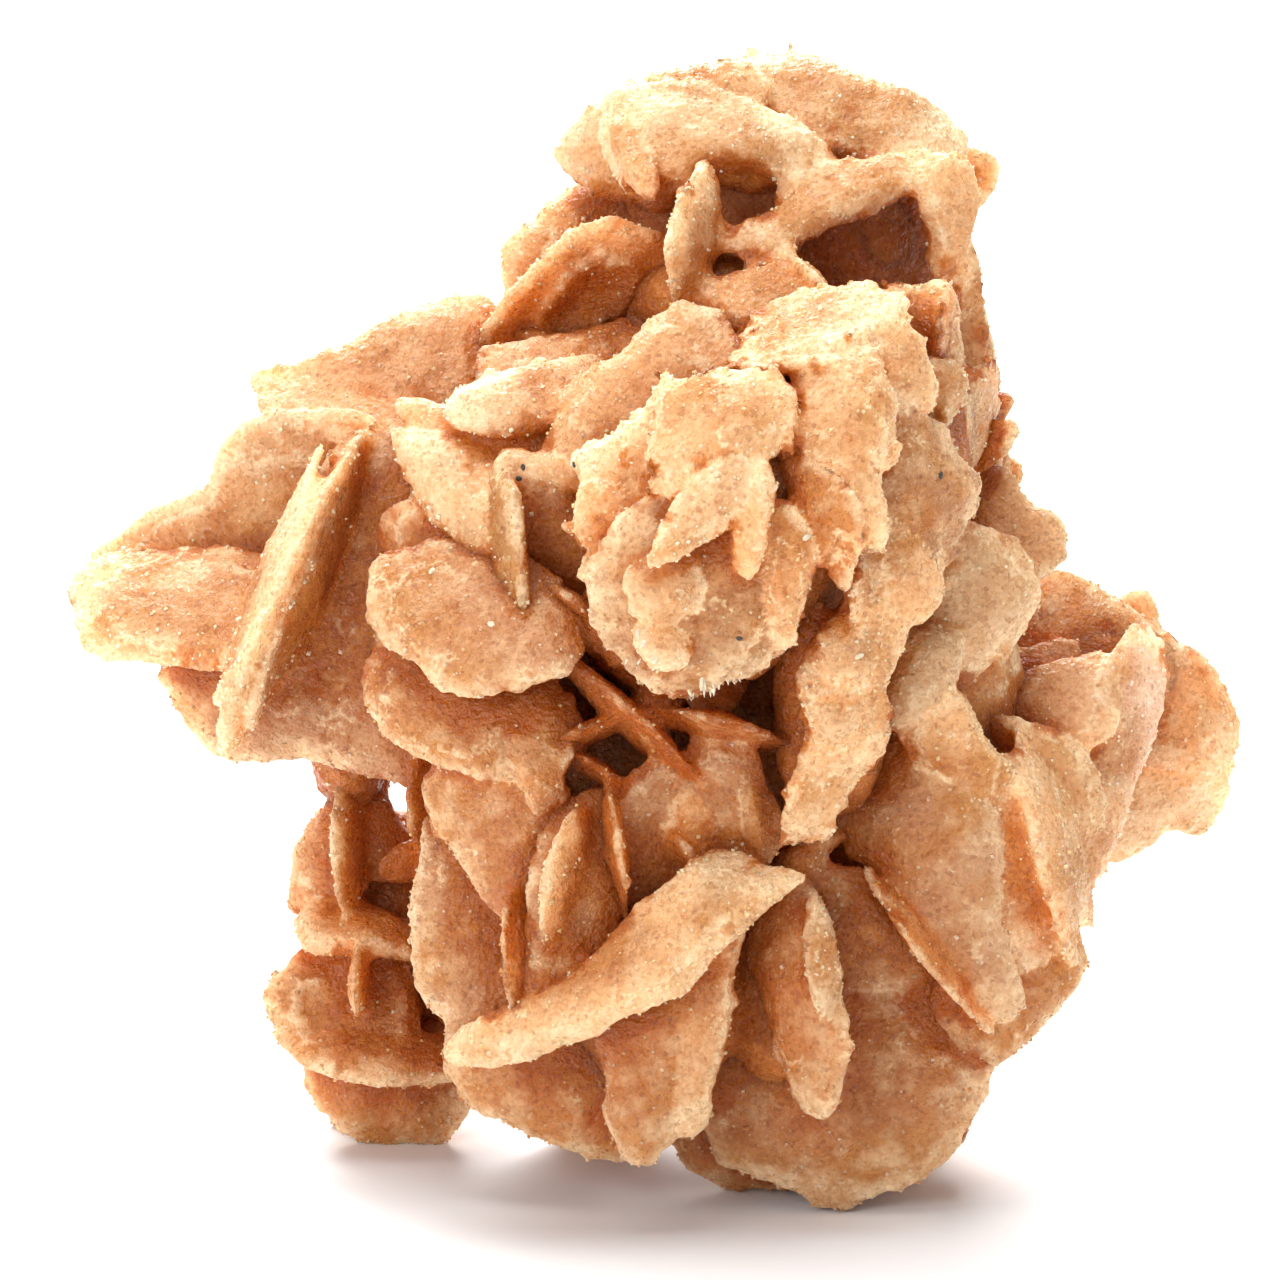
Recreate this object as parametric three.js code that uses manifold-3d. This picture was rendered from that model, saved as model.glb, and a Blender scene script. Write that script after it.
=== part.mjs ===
// A gypsum sand rose: a hand-sized cluster of lens-shaped gypsum crystals that grew through each
// other in desert sand, so that the whole cluster is one solid. It stands on the rims of its lowest
// crystals, which are worn flat there.
//
// Millimetres, +Z up. The cluster is seen from the front, looking along +Y. The origin is at the
// middle of the bounding box, on the surface that the cluster stands on.
//
// Each crystal is set out as it looks from the front: x to the right and z up, on the upright
// "picture plane" through the middle of the cluster, and "near" is how far it stands out from that
// plane towards the eye. Moving a point nearer slides it along its line of sight.

import * as THREE from "three";
import { mergeVertices } from "three/addons/utils/BufferGeometryUtils.js";
import Module from "manifold-3d";

const EYE_DISTANCE = 350; // from the eye to the picture plane
const EYE_HEIGHT_ANGLE = THREE.MathUtils.degToRad(12); // how far the eye looks down on the cluster
const PICTURE_HEIGHT = 33.4; // from the standing surface to the middle of the picture plane
const SHOULDER = 0.62; // where a crystal's face bends, as a share of the way from its middle to its rim
const SHOULDER_RISE = 0.85; // the thickness there, as a share of the thickness in the middle
const LEAF_POINTS = 8; // around the rim of a leaf, unless it says otherwise
const FEW_LEAF_POINTS = 6; // around the rims of small leaves and of those at the back
const BROAD = 6; // a plate that reaches further than this from its middle has a shoulder
const LUMP_REACH = 1.05; // how far a lump's corners reach, as a share of its half sizes
const GROUND = { width: 200, depth: 40 }; // what is cut away under the standing surface
const WELD = 1e-4; // corners nearer to each other than this are one corner

// A crystal whose broad face is turned to the front. The outline is a list of [x, z] on the picture
// plane. turn is [to the right, up]: how many millimetres nearer the face comes for each millimetre
// that way. bow pushes the middle of the face towards the eye.
const plate = (outline, near, turn, thick, bow = 0) => ({ outline, near, turn, thick, bow });

// A crystal of plain leaf or disc shape, in any attitude: its middle [x, z, near], half its length
// and half its width as vectors [right, up, nearer]. tips is 1 for a round disc and 2 for a leaf
// that is pointed at both ends.
const leaf = (at, long, wide, thick, tips = 1.4, corners = LEAF_POINTS) =>
  ({ at, long, wide, thick, tips, corners });

const LEFT_WING = {
  left_fan: plate(
    [
      [-34.4, 5.2], [-31, 8], [-27.5, 9.6], [-25.8, 12.8], [-22, 14.2], [-16.4, 13.7], [-17.5, 7],
      [-22, 3.5], [-28, 3.6],
    ],
    -3, [0.35, 0.35], 2.6, -1.2,
  ),
  left_shelf: plate(
    [
      [-36, 3], [-34.2, 5], [-29.5, 5.8], [-24, 5.4], [-20, 3], [-21.5, -0.5], [-25.8, -2.1],
      [-30.5, -1.6], [-34.2, -0.7],
    ],
    0.5, [0.3, -0.85], 2.2,
  ),
  left_fin: leaf([-21.4, 3.2, 3.5], [4.7, 10.4, -1.5], [0.6, -0.6, -6.5], 3.6, 1.35),
  left_fin_rim: leaf([-23.3, 3.9, 6], [3.2, 8, -1], [0.5, -0.5, 3], 1.1, 1.2, FEW_LEAF_POINTS),
  left_fin_lip: leaf([-21.2, 2.5, 5.6], [3.2, 8, -1], [-0.3, 0.1, 3], 1.1, 1.2, FEW_LEAF_POINTS),
  left_apron: plate(
    [
      [-30.2, -1.8], [-28.6, -5], [-26.8, -6.9], [-21, -7.6], [-14, -9], [-8.5, -7], [-8.5, 3],
      [-13, 11.5], [-17.5, 13.2], [-22, 7], [-26, 2],
    ],
    1, [0.12, 0.1], 3.2,
  ),
  shoulder_left: plate(
    [
      [-24.4, 16.7], [-22.4, 16.9], [-18.8, 18.4], [-15.8, 20.2], [-12, 21.4], [-9.4, 21.4],
      [-8, 18.5], [-10, 15], [-14.5, 13.6], [-19, 13.4], [-23.6, 14.2],
    ],
    -3.5, [0.1, -0.35], 2.8,
  ),
  shoulder_lip: plate(
    [
      [-24.5, 16.5], [-22, 16.2], [-19, 15.2], [-15, 14.4], [-12, 12.5], [-15, 11.5], [-20, 12.8],
      [-23.8, 14.6],
    ],
    -1, [0, -1.3], 2,
  ),
};

const UPPER_LEFT = {
  upper_left_back: plate(
    [
      [-8.7, 22.4], [-8.4, 24.6], [-6.2, 26.8], [-3.8, 28.4], [-1, 29], [2, 27.5], [1, 23],
      [-4, 20], [-8, 20],
    ],
    -5.5, [0, -0.15], 3,
  ),
  upper_left_shell: plate(
    [
      [-10, 18.2], [-9, 20.4], [-6.3, 23.8], [-4.5, 25.5], [-2, 26.7], [0.2, 26.1], [2.2, 24.6],
      [1.8, 21], [-1, 18.6], [-5, 17.2], [-8, 17],
    ],
    0.5, [0.1, 0.75], 2.2, -1.6,
  ),
  upper_left_step: plate(
    [
      [-10.6, 18], [-7, 18.7], [-3.4, 19.4], [-0.4, 20.2], [1, 18.5], [-2, 15.5], [-6, 14.5],
      [-10, 15],
    ],
    3, [0.1, -0.7], 2,
  ),
  brow: plate(
    [
      [-12.6, 14], [-11, 15.4], [-8, 16.6], [-4.5, 17.4], [-1.8, 17.4], [-2.4, 14.6], [-5.2, 13.6],
      [-8, 12.9], [-10.6, 13.1],
    ],
    8.5, [0.1, -1.1], 2.8,
  ),
  fold_back: plate(
    [
      [-6.2, 11.4], [-5.2, 14], [-3.8, 16.6], [-1.8, 17.8], [0, 19.8], [1.4, 21], [3.5, 21.3],
      [5.3, 20.6], [6.2, 19.5], [8, 16.5], [4, 12], [-1, 10.5],
    ],
    12, [0.3, -0.3], 2.6,
  ),
  petal_upper: plate(
    [
      [-15, 14.9], [-13.6, 12.2], [-11.8, 10.3], [-9, 8.3], [-5, 9], [-3.5, 12], [-7, 14.2],
      [-11.5, 14.4],
    ],
    8, [0.2, -0.55], 2.2,
  ),
  petal_white_rim: plate(
    [
      [-15.2, 13], [-14.8, 10.4], [-13.2, 7.6], [-11.6, 5.8], [-9.8, 4.7], [-7.5, 7.5], [-9, 10.8],
      [-12.8, 13],
    ],
    9.2, [0.45, -0.2], 2,
  ),
  far_wedge: plate(
    [[-16.6, 6.9], [-14.2, 9.1], [-11.5, 8], [-9.5, 5], [-13, 3.4], [-16, 5]],
    7, [0.4, 0.3], 2,
  ),
  glassy_leaf: leaf([-8.4, 5, 11.4], [-0.35, 5.7, 0.6], [1.15, 0, 3.4], 1.9, 1.25, FEW_LEAF_POINTS),
  dark_flake: plate(
    [
      [-9, 11.3], [-6.8, 11.3], [-4.6, 10], [-3, 7.5], [-2.6, 3.5], [-4.6, 1.5], [-7.4, 2.5],
      [-8.6, 7],
    ],
    10.5, [0.15, 0.45], 1.8,
  ),
  rim_flake: plate(
    [[-9.1, 11.5], [-6.6, 11.6], [-3.6, 10.4], [-2.6, 9.2], [-4.6, 9.5], [-7.4, 10.4]],
    12.4, [0.1, -0.9], 1.3,
  ),
};

const LEFT_PETALS = {
  petal_main: plate(
    [
      [-17, 4.6], [-17.2, 1.2], [-15.6, -0.2], [-14, -1.6], [-12.3, -3], [-9.5, -3.4],
      [-6.8, -2.9], [-4.2, -1.7], [-3.4, 0.5], [-5.5, 3.8], [-9, 6.2], [-13, 6.4],
    ],
    13, [0.1, -0.5], 2.4,
  ),
  petal_low: plate(
    [
      [-15.6, -0.2], [-17.4, -1.4], [-17.7, -3], [-16.6, -5.2], [-15, -6.9], [-12, -8],
      [-9.2, -8.7], [-7.4, -7.2], [-7.4, -4], [-10.5, -1],
    ],
    10.5, [0.25, -0.15], 2.4,
  ),
  petal_keel: plate(
    [
      [-12.4, -2.8], [-11, -5], [-9.2, -7.2], [-7.6, -9], [-5.9, -10.9], [-4.9, -10.2],
      [-4.2, -7.6], [-3.8, -4.8], [-5, -2.4], [-8.4, -1.6],
    ],
    11.3, [0.1, -0.25], 2.6,
  ),
  sail: plate(
    [
      [-13.8, -8.7], [-13.1, -11.2], [-10.8, -14.4], [-8.1, -17.7], [-7.5, -21.3], [-6.4, -20.5],
      [-5.2, -14], [-4.6, -10], [-7, -7], [-11, -6.6],
    ],
    9.5, [0.45, 0.25], 2.4,
  ),
  sail_edge: leaf([-7.3, -19.6, 11.5], [0.4, -4.4, 0.8], [1.2, 0.3, -3], 1.6, 1.5, FEW_LEAF_POINTS),
  mauve_plate: plate(
    [
      [-13.2, -11], [-13.9, -14.5], [-14.2, -20.6], [-13.7, -22.6], [-12.3, -24], [-12.1, -26.2],
      [-10.8, -26.9], [-7, -25], [-6, -19], [-7.5, -13], [-10.5, -10],
    ],
    5.5, [0.1, 0.05], 3,
  ),
};

const LATTICE = {
  lattice_a: leaf([-3.9, 1.2, 9.6], [3.5, -2.7, 0.4], [0.5, 0.7, 4.6], 1.5, 1.3, FEW_LEAF_POINTS),
  lattice_b: leaf([-0.2, -5.6, 10.2], [4.6, -4.3, 0.5], [0.5, 0.6, 4.4], 1.6, 1.3, FEW_LEAF_POINTS),
  lattice_c: leaf([-3.2, -5.9, 9.6], [3, 1.2, 0], [-0.2, 0.5, 4], 1.2, 1.3, FEW_LEAF_POINTS),
  lattice_d: leaf([-2.6, -8.3, 9.4], [2.6, -1.5, 0], [0.2, 0.5, 4], 1.2, 1.3, FEW_LEAF_POINTS),
  lattice_e: leaf([4.8, -5.6, 10.8], [4.8, -1.1, 0.4], [0, 0.8, 4.5], 1.4, 1.3, FEW_LEAF_POINTS),
  lattice_f: leaf([2.6, -3.7, 7.6], [3.8, 0.5, 0], [0, 0.6, 4.5], 1.3, 1.3, FEW_LEAF_POINTS),
  lattice_g: leaf([-0.6, -2.3, 8.4], [3.4, -2.4, 0], [0.3, 0.5, 4], 1.3, 1.3, FEW_LEAF_POINTS),
  knuckle: plate(
    [
      [3.4, -6], [6.9, -6.3], [7.7, -8.4], [8.8, -10.6], [8.7, -13.6], [7.4, -14.4], [5.6, -13.4],
      [4.4, -11], [2.4, -8.4],
    ],
    11.6, [0.2, 0.25], 2.4,
  ),
  knuckle_lens: plate(
    [
      [6.4, -8.6], [7.4, -9.4], [7.9, -11.6], [7.8, -13.4], [6.8, -12.6], [6.3, -10.6],
    ],
    12.8, [0.1, 0.1], 1.2,
  ),
  thin_wall: plate(
    [
      [0.3, -7.3], [-0.9, -8.7], [-1.8, -11], [-2.3, -13.8], [-1.8, -17.4], [1, -17], [4, -14.6],
      [5.2, -11.6], [4.4, -8.8], [2.2, -7.4],
    ],
    10.8, [-0.25, 0.2], 1.8,
  ),
  thin_wall_rib: leaf([-1.6, -12.6, 12.4], [-0.7, 4.6, 0.2], [0.3, 0, 2.6], 1.1, 1.3),
  thin_rib: leaf([2.8, -13.3, 11.6], [1.6, -1.8, 0.4], [0.3, 0.3, 1.8], 0.9, 1.3),
  side_flake: plate(
    [
      [3.6, -9.4], [4.9, -10.8], [4.8, -12.4], [4.1, -14], [2.6, -12.4], [2, -10.4],
    ],
    11.6, [-0.2, 0.2], 1.4,
  ),
};

const NOSE = {
  nose_shield: plate(
    [
      [-3.5, 4.4], [-2.9, 1.2], [-1.2, -1.3], [0.8, -2.9], [3.2, -3.9], [5.6, -2.9], [8.2, -1.3],
      [9.8, 1.5], [10.8, 5], [8.5, 8.5], [3, 9.5], [-1.5, 7.8],
    ],
    19.5, [0.05, 0.18], 2.2,
  ),
  nose_scale: plate(
    [
      [-0.5, 5], [2.8, 5.4], [4, 3.2], [2.7, 1], [0.5, 0.8], [-0.8, 2.6],
    ],
    20.9, [0, 0.2], 1.4,
  ),
  nose_chip: plate(
    [
      [-0.6, 0.7], [1.3, 1.2], [3, 0.2], [3.1, -1.2], [1.9, -1.9], [0.2, -1.4],
    ],
    20.6, [0, -0.1], 1.4,
  ),
  nose_bract_left: plate(
    [
      [7.8, 12], [5, 11.4], [2.4, 9.2], [1, 7.2], [0.8, 5], [2.4, 5.3], [4.8, 6.5], [6.7, 8],
      [7.8, 10],
    ],
    22.8, [-0.15, -0.25], 1.9,
  ),
  nose_bract_mid: plate(
    [
      [7.6, 11], [6.2, 8.4], [5.7, 6], [6.2, 4.2], [7, 3.9], [7.9, 4.8], [8.2, 7],
    ],
    22.3, [0.25, 0], 1.6,
  ),
  nose_fold: plate(
    [[7.8, 10.6], [9.4, 7.3], [11.4, 4.6], [12.9, 2.8], [14, 5], [13.6, 8.6], [11.4, 11], [9, 12]],
    20.6, [0.9, 0.35], 1.8,
  ),
  nose_tongue: plate(
    [
      [8.4, 9], [7.6, 5.6], [7.5, 2.2], [8.3, 0.8], [8.8, -0.6], [9.4, -0.4], [10.1, 1.6],
      [11, 4.4], [10.4, 7.4],
    ],
    20.6, [0.1, 0.15], 1.4,
  ),
  nose_cap_left: plate(
    [
      [0.4, 8.8], [0.5, 12], [1.2, 15], [3.2, 16.6], [6.5, 16.8], [9.8, 15.6], [9.6, 12.6],
      [7.4, 11.5], [4.5, 10.6], [2.4, 8.8],
    ],
    20.9, [0.2, -0.35], 2.6,
  ),
  nose_cap_right: plate(
    [
      [7.6, 12.2], [9.6, 10.8], [12.2, 8.4], [13.6, 5], [15, 5.2], [15.5, 10], [15.7, 15],
      [14.2, 17.8], [12, 18.4], [10, 17.2], [8.8, 14.8],
    ],
    20, [0, -0.3], 2.8,
  ),
  nose_flank: plate(
    [
      [15, 15.8], [17.6, 14.2], [19.8, 11.5], [20.8, 9.6], [20.7, 7.8], [19.6, 5.6], [18.6, 3.6],
      [17.2, 0.8], [15, 1.5], [13.6, 5], [13.8, 11],
    ],
    15.5, [-0.75, 0.05], 2.6,
  ),
  nose_flank_step: plate(
    [
      [15.6, 8], [17.4, 6.4], [18.8, 4.6], [18.5, 2.2], [17, 0.8], [15.6, 0.4], [14.6, 3.4],
    ],
    16.4, [-0.6, 0.1], 1.8,
  ),
  nose_keel: plate(
    [
      [13.8, 6], [12.6, 2.6], [11, 0.5], [10, -2.5], [10.3, -5.5], [9.5, -8.5], [9, -12.8],
      [11, -12.4], [13.2, -9.9], [15, -7.6], [15.7, -5.5], [15.4, -2.6], [16.8, 0.6], [16.4, 4.6],
    ],
    15.6, [-0.25, 0.22], 3,
  ),
  nose_keel_side: plate(
    [[10.4, 5.5], [11.6, 2], [11, -2], [10.4, -7], [9.4, -9.5], [8.4, -6.5], [8.6, -2], [8.8, 2.5]],
    12.8, [1.6, 0.2], 1.8,
  ),
  nose_knob_upper: plate(
    [
      [11.3, 0.9], [13.2, 1.5], [14.7, 0.2], [14.8, -1.8], [13.6, -2.9], [12, -2.4], [10.9, -0.8],
    ],
    17.2, [-0.1, 0.1], 1.8,
  ),
  nose_knob_lower: plate(
    [
      [10.9, -3], [13.2, -2.6], [14.6, -3.6], [14, -5.8], [12.4, -7.1], [10.9, -6.6], [10.4, -4.8],
    ],
    16.6, [-0.1, 0.1], 1.8,
  ),
  nose_spur: leaf([13.7, 3.2, 17.8], [0.35, 2, 0], [0.5, 0, -1.5], 0.9, 1.4),
  nose_left_stack: plate(
    [
      [-4, 11.2], [-1.8, 12.6], [0.2, 14.8], [1.6, 17], [3, 14], [2.4, 8], [1.2, 3.6], [-0.8, 3.2],
      [-1.8, 5.2], [-3.9, 7], [-3.5, 9.4],
    ],
    17.6, [0.65, -0.05], 2.6,
  ),
  nose_left_lobe: plate(
    [
      [-4.1, 7.4], [-3.2, 5.6], [-1.8, 5.2], [-0.6, 7], [-1, 9.6], [-3, 9.8],
    ],
    18.3, [0.4, 0], 1.5,
  ),
  nose_prong: plate(
    [
      [-3.8, 4.1], [-3.4, 5.2], [-2, 5.8], [0, 5.2], [0.6, 3.4], [-1.6, 3.4],
    ],
    18.8, [0.3, -0.5], 1.2,
  ),
  nose_lip_top: leaf([11.4, 19.9, 14.4], [4.9, 1.1, -0.4], [-0.2, 1.6, -4], 2.4, 1.15),
  nose_lip_top_back: plate(
    [
      [6.8, 19.4], [7.4, 20.6], [9.4, 21.6], [12.3, 21.9], [14.6, 22.3], [16.4, 20.4], [17.4, 18],
      [15, 15], [9, 15.5], [6.4, 17.4],
    ],
    12.6, [0, -0.4], 2.4,
  ),
  nose_lip_low: leaf([10.2, 17.9, 16.2], [4.7, 0.5, 0.2], [0, 0.9, -3.6], 1.8, 1.2),
  nose_lip_right: plate(
    [
      [14, 18.4], [15.8, 20.4], [17.4, 18.4], [18.2, 15.4], [17.6, 14.2], [16.2, 14.6], [14.6, 16],
    ],
    16, [-0.5, -0.3], 2,
  ),
  nose_chip_right: plate(
    [
      [17.4, 17.4], [19, 17.5], [20.1, 16.6], [19.8, 14.6], [18.6, 12.8], [16.8, 14],
    ],
    10.6, [-0.3, 0], 2.4,
  ),
};

const CROWN = {
  crown_top: plate(
    [
      [2, 35.2], [5, 36.1], [8, 36.7], [10.2, 36.4], [12.4, 35.2], [15, 34.3], [18.6, 33.3],
      [20, 32], [20.4, 29.4], [17, 28.6], [11, 29.6], [5, 32.6],
    ],
    -5, [0, -0.85], 4.6, 0.6,
  ),
  crown_dome: plate(
    [
      [-2.1, 34.5], [1.5, 34.9], [5, 34.4], [9, 32.4], [12, 30.4], [10, 28.6], [6, 29], [3, 28],
      [1.8, 26.8], [0.3, 27], [-1.2, 28.6], [-2.5, 31.2],
    ],
    0, [0.05, -0.4], 3.6, 1,
  ),
  crown_ear: plate(
    [[-2.2, 34.2], [-4.4, 32], [-5.4, 30.3], [-4.2, 28.6], [-2, 27.6], [3, 28.6], [3, 32.4]],
    -2.5, [0.3, -0.1], 3.2,
  ),
  crown_saddle: plate(
    [
      [-1, 34.4], [2, 35.3], [6, 35.6], [8.6, 34.2], [7, 31.5], [1, 31.5],
    ],
    -2.4, [0, -0.6], 4.4,
  ),
  crown_brow: leaf([-0.4, 30.3, 2.2], [-0.9, 3.4, -2.4], [1.4, -0.8, 1.6], 2.4, 1.2, FEW_LEAF_POINTS),
  crown_spike: leaf([3.4, 25, 5.8], [0.7, 5, -0.6], [1.3, 0, -4.4], 2.5, 1.35),
  crown_arm: plate(
    [
      [5.4, 25.6], [7.6, 26.4], [9.4, 28.8], [12, 29.9], [15, 30.3], [18.4, 30.4], [18.4, 28.9],
      [15.4, 27.7], [12.5, 26.3], [10.5, 25], [8.4, 24], [6.4, 23.6],
    ],
    2.5, [0, -0.7], 2.4,
  ),
  crown_bar: plate(
    [
      [3.6, 21.3], [6, 22.7], [8, 23.4], [9.5, 24.6], [10.6, 23.4], [12, 21.4], [9, 19.8],
      [5, 19.6],
    ],
    6.5, [0.1, -0.9], 2,
  ),
  crown_web: leaf([10.6, 22.6, 4.6], [1.6, -1.9, 0.2], [-0.4, 0.4, -4], 1.2, 1.3, FEW_LEAF_POINTS),
  crown_recess_wall: plate(
    [
      [4.6, 30.6], [8.8, 29.6], [9.4, 26.8], [8, 24], [5, 23], [3, 26],
    ],
    -2, [0.3, 0.3], 2.2,
  ),
  crown_cave_wall: plate(
    [
      [9.6, 20], [10, 25.6], [14.8, 28.8], [18.8, 28.8], [19.4, 21], [15, 18],
    ],
    -3.2, [-0.55, 0.25], 3,
  ),
  crown_cave_floor: plate(
    [
      [9.4, 21.6], [12, 21.7], [15, 21.4], [17, 20.4], [15, 18.4], [11, 18.6],
    ],
    3.5, [0.1, -0.9], 2,
  ),
  crown_pillar: plate(
    [
      [18.2, 30.4], [17.4, 27.8], [18.2, 25], [18.4, 22.4], [19.8, 20.8], [20.4, 25], [21, 27.6],
      [20.4, 30.2],
    ],
    1, [-0.9, 0], 2.4,
  ),
  crown_gate: plate(
    [
      [15.2, 22.5], [17.2, 22.4], [19.4, 22.7], [19.9, 20], [19.9, 17.2], [18.6, 16], [16.8, 16.8],
      [15.4, 19.4],
    ],
    8.4, [-0.3, 0.1], 2.2,
  ),
  crown_gate_rib: leaf([19, 19.9, 9.4], [0.4, 2.8, 0], [0.4, 0, -2.4], 1.3, 1.3, FEW_LEAF_POINTS),
  right_ridge_far: plate(
    [
      [20.4, 26], [21, 22], [22, 18.8], [22.3, 16.6], [22, 13], [23.2, 10.4], [21.5, 7], [19, 10],
      [18.8, 17], [19, 23],
    ],
    -2.5, [-0.7, 0.1], 3,
  ),
  right_ridge_strip: leaf([20.6, 13.2, 5.2], [1.7, 4.4, -1], [1.2, -0.6, -3.4], 1.8, 1.3, FEW_LEAF_POINTS),
};

const RIGHT_SIDE = {
  ledge_far: plate(
    [
      [20.4, 12.4], [22.2, 11.6], [24.4, 8.5], [26.2, 7.6], [26.7, 6], [25.8, 4.4], [23, 3],
      [20, 5],
    ],
    3, [-0.1, -0.3], 2.4,
  ),
  gray_plate: plate(
    [
      [17.6, 8], [20.6, 7.2], [22.8, 6.8], [24.7, 4.6], [24.7, 2.6], [23.2, -0.4], [21.8, -1.9],
      [20.2, -2.7], [18.4, -1], [17, 3],
    ],
    9, [-0.35, 0.1], 2.6,
  ),
  tooth: plate(
    [
      [16.4, 1.2], [18.2, 1.2], [20.1, 0], [19.8, -1.8], [18.8, -3.6], [17.4, -4.9], [15.6, -5.3],
      [14.6, -2],
    ],
    11.4, [-0.35, 0.1], 2.8,
  ),
  right_step: plate(
    [
      [19.6, -3.1], [20.9, -4.5], [21.9, -6.4], [23.3, -8.3], [22.9, -10], [21.8, -11.9],
      [20.4, -11], [18.6, -9], [16.4, -7], [16, -4.6],
    ],
    10, [-0.1, 0.3], 2.2,
  ),
  right_face: plate(
    [
      [16, -4.8], [14.8, -8], [12.6, -10.3], [12.8, -12.6], [15.4, -16.2], [18, -19.6],
      [20.5, -23], [23.4, -23.6], [23, -18], [22.4, -12], [21, -8], [18.6, -5],
    ],
    9, [0.15, 0.05], 2.8,
  ),
  right_fold: plate(
    [
      [21, -8.4], [20.2, -12], [21, -17], [22, -21], [25, -20.6], [26, -15.6], [25.4, -10.4],
      [24, -6.6],
    ],
    8.2, [-0.35, 0], 2.6,
  ),
  right_rib: leaf([25.4, -12.6, 6.4], [1.8, -7.6, 0.4], [1, 0.2, -4], 2.4, 1.2),
  right_rib_outer: leaf([26.8, -12.4, 3.4], [1.2, -5.4, 0.2], [0.8, 0.2, -4], 2, 1.3),
  right_tail: plate(
    [
      [20.6, -20], [24, -19], [26.6, -17.6], [28, -19.2], [27.3, -21.6], [25.6, -23.8],
      [23.8, -25.4], [22, -26.8], [19.6, -25], [18.6, -21.6],
    ],
    7, [-0.25, -0.15], 2.8,
  ),
  right_diagonal: leaf([18.2, -19.6, 10.4], [3.9, -5, -0.4], [0.6, 0.4, -2], 1.5, 1.3),
  right_wing: plate(
    [
      [25.4, 4.7], [28.6, 3.2], [31.8, 1.3], [34.5, -0.7], [36.5, -2.6], [37.3, -4.8], [36.8, -8],
      [33, -8], [27, -6], [22.6, -3], [22.8, 2],
    ],
    -5, [-0.2, -0.25], 2.8,
  ),
  right_wing_low: plate(
    [
      [37.2, -5], [36.9, -8], [36.3, -10.7], [35.1, -12], [33.2, -11.9], [31.8, -12.9],
      [29.6, -13.7], [27, -11], [28, -5], [33, -3],
    ],
    -6.5, [-0.3, 0.35], 2.4,
  ),
  right_fin: plate(
    [
      [31.4, 1.5], [32.7, -0.6], [32.9, -3], [32.3, -5.8], [31.2, -8.4], [30.3, -11.2],
      [28.6, -15], [27.4, -12], [27.8, -7], [28.8, -2],
    ],
    0, [-0.9, 0.1], 2.4,
  ),
  right_fin_foot: plate(
    [
      [28.6, -7], [30.4, -9], [30, -12.4], [28.4, -15.2], [27.6, -17], [26.4, -13], [26.4, -8.6],
    ],
    2, [-0.7, 0], 2,
  ),
  right_inner_upper: plate(
    [
      [22.2, -4.4], [24, -2.1], [26.2, -1.2], [29, -0.9], [30, -3.4], [28.4, -6.8], [25, -6.4],
    ],
    1.5, [0.1, -0.5], 2,
  ),
  right_inner_lower: plate(
    [
      [22.4, -4.8], [25, -5.2], [28, -6.6], [28.8, -9], [28.6, -13], [26, -13], [23.6, -9],
    ],
    4, [-0.2, 0.2], 2,
  ),
  right_inner_wall: plate(
    [
      [19, -1], [23, -0.5], [27, 0], [28, -6], [24, -9], [19, -6],
    ],
    -2, [0.1, 0], 3,
  ),
};

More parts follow.
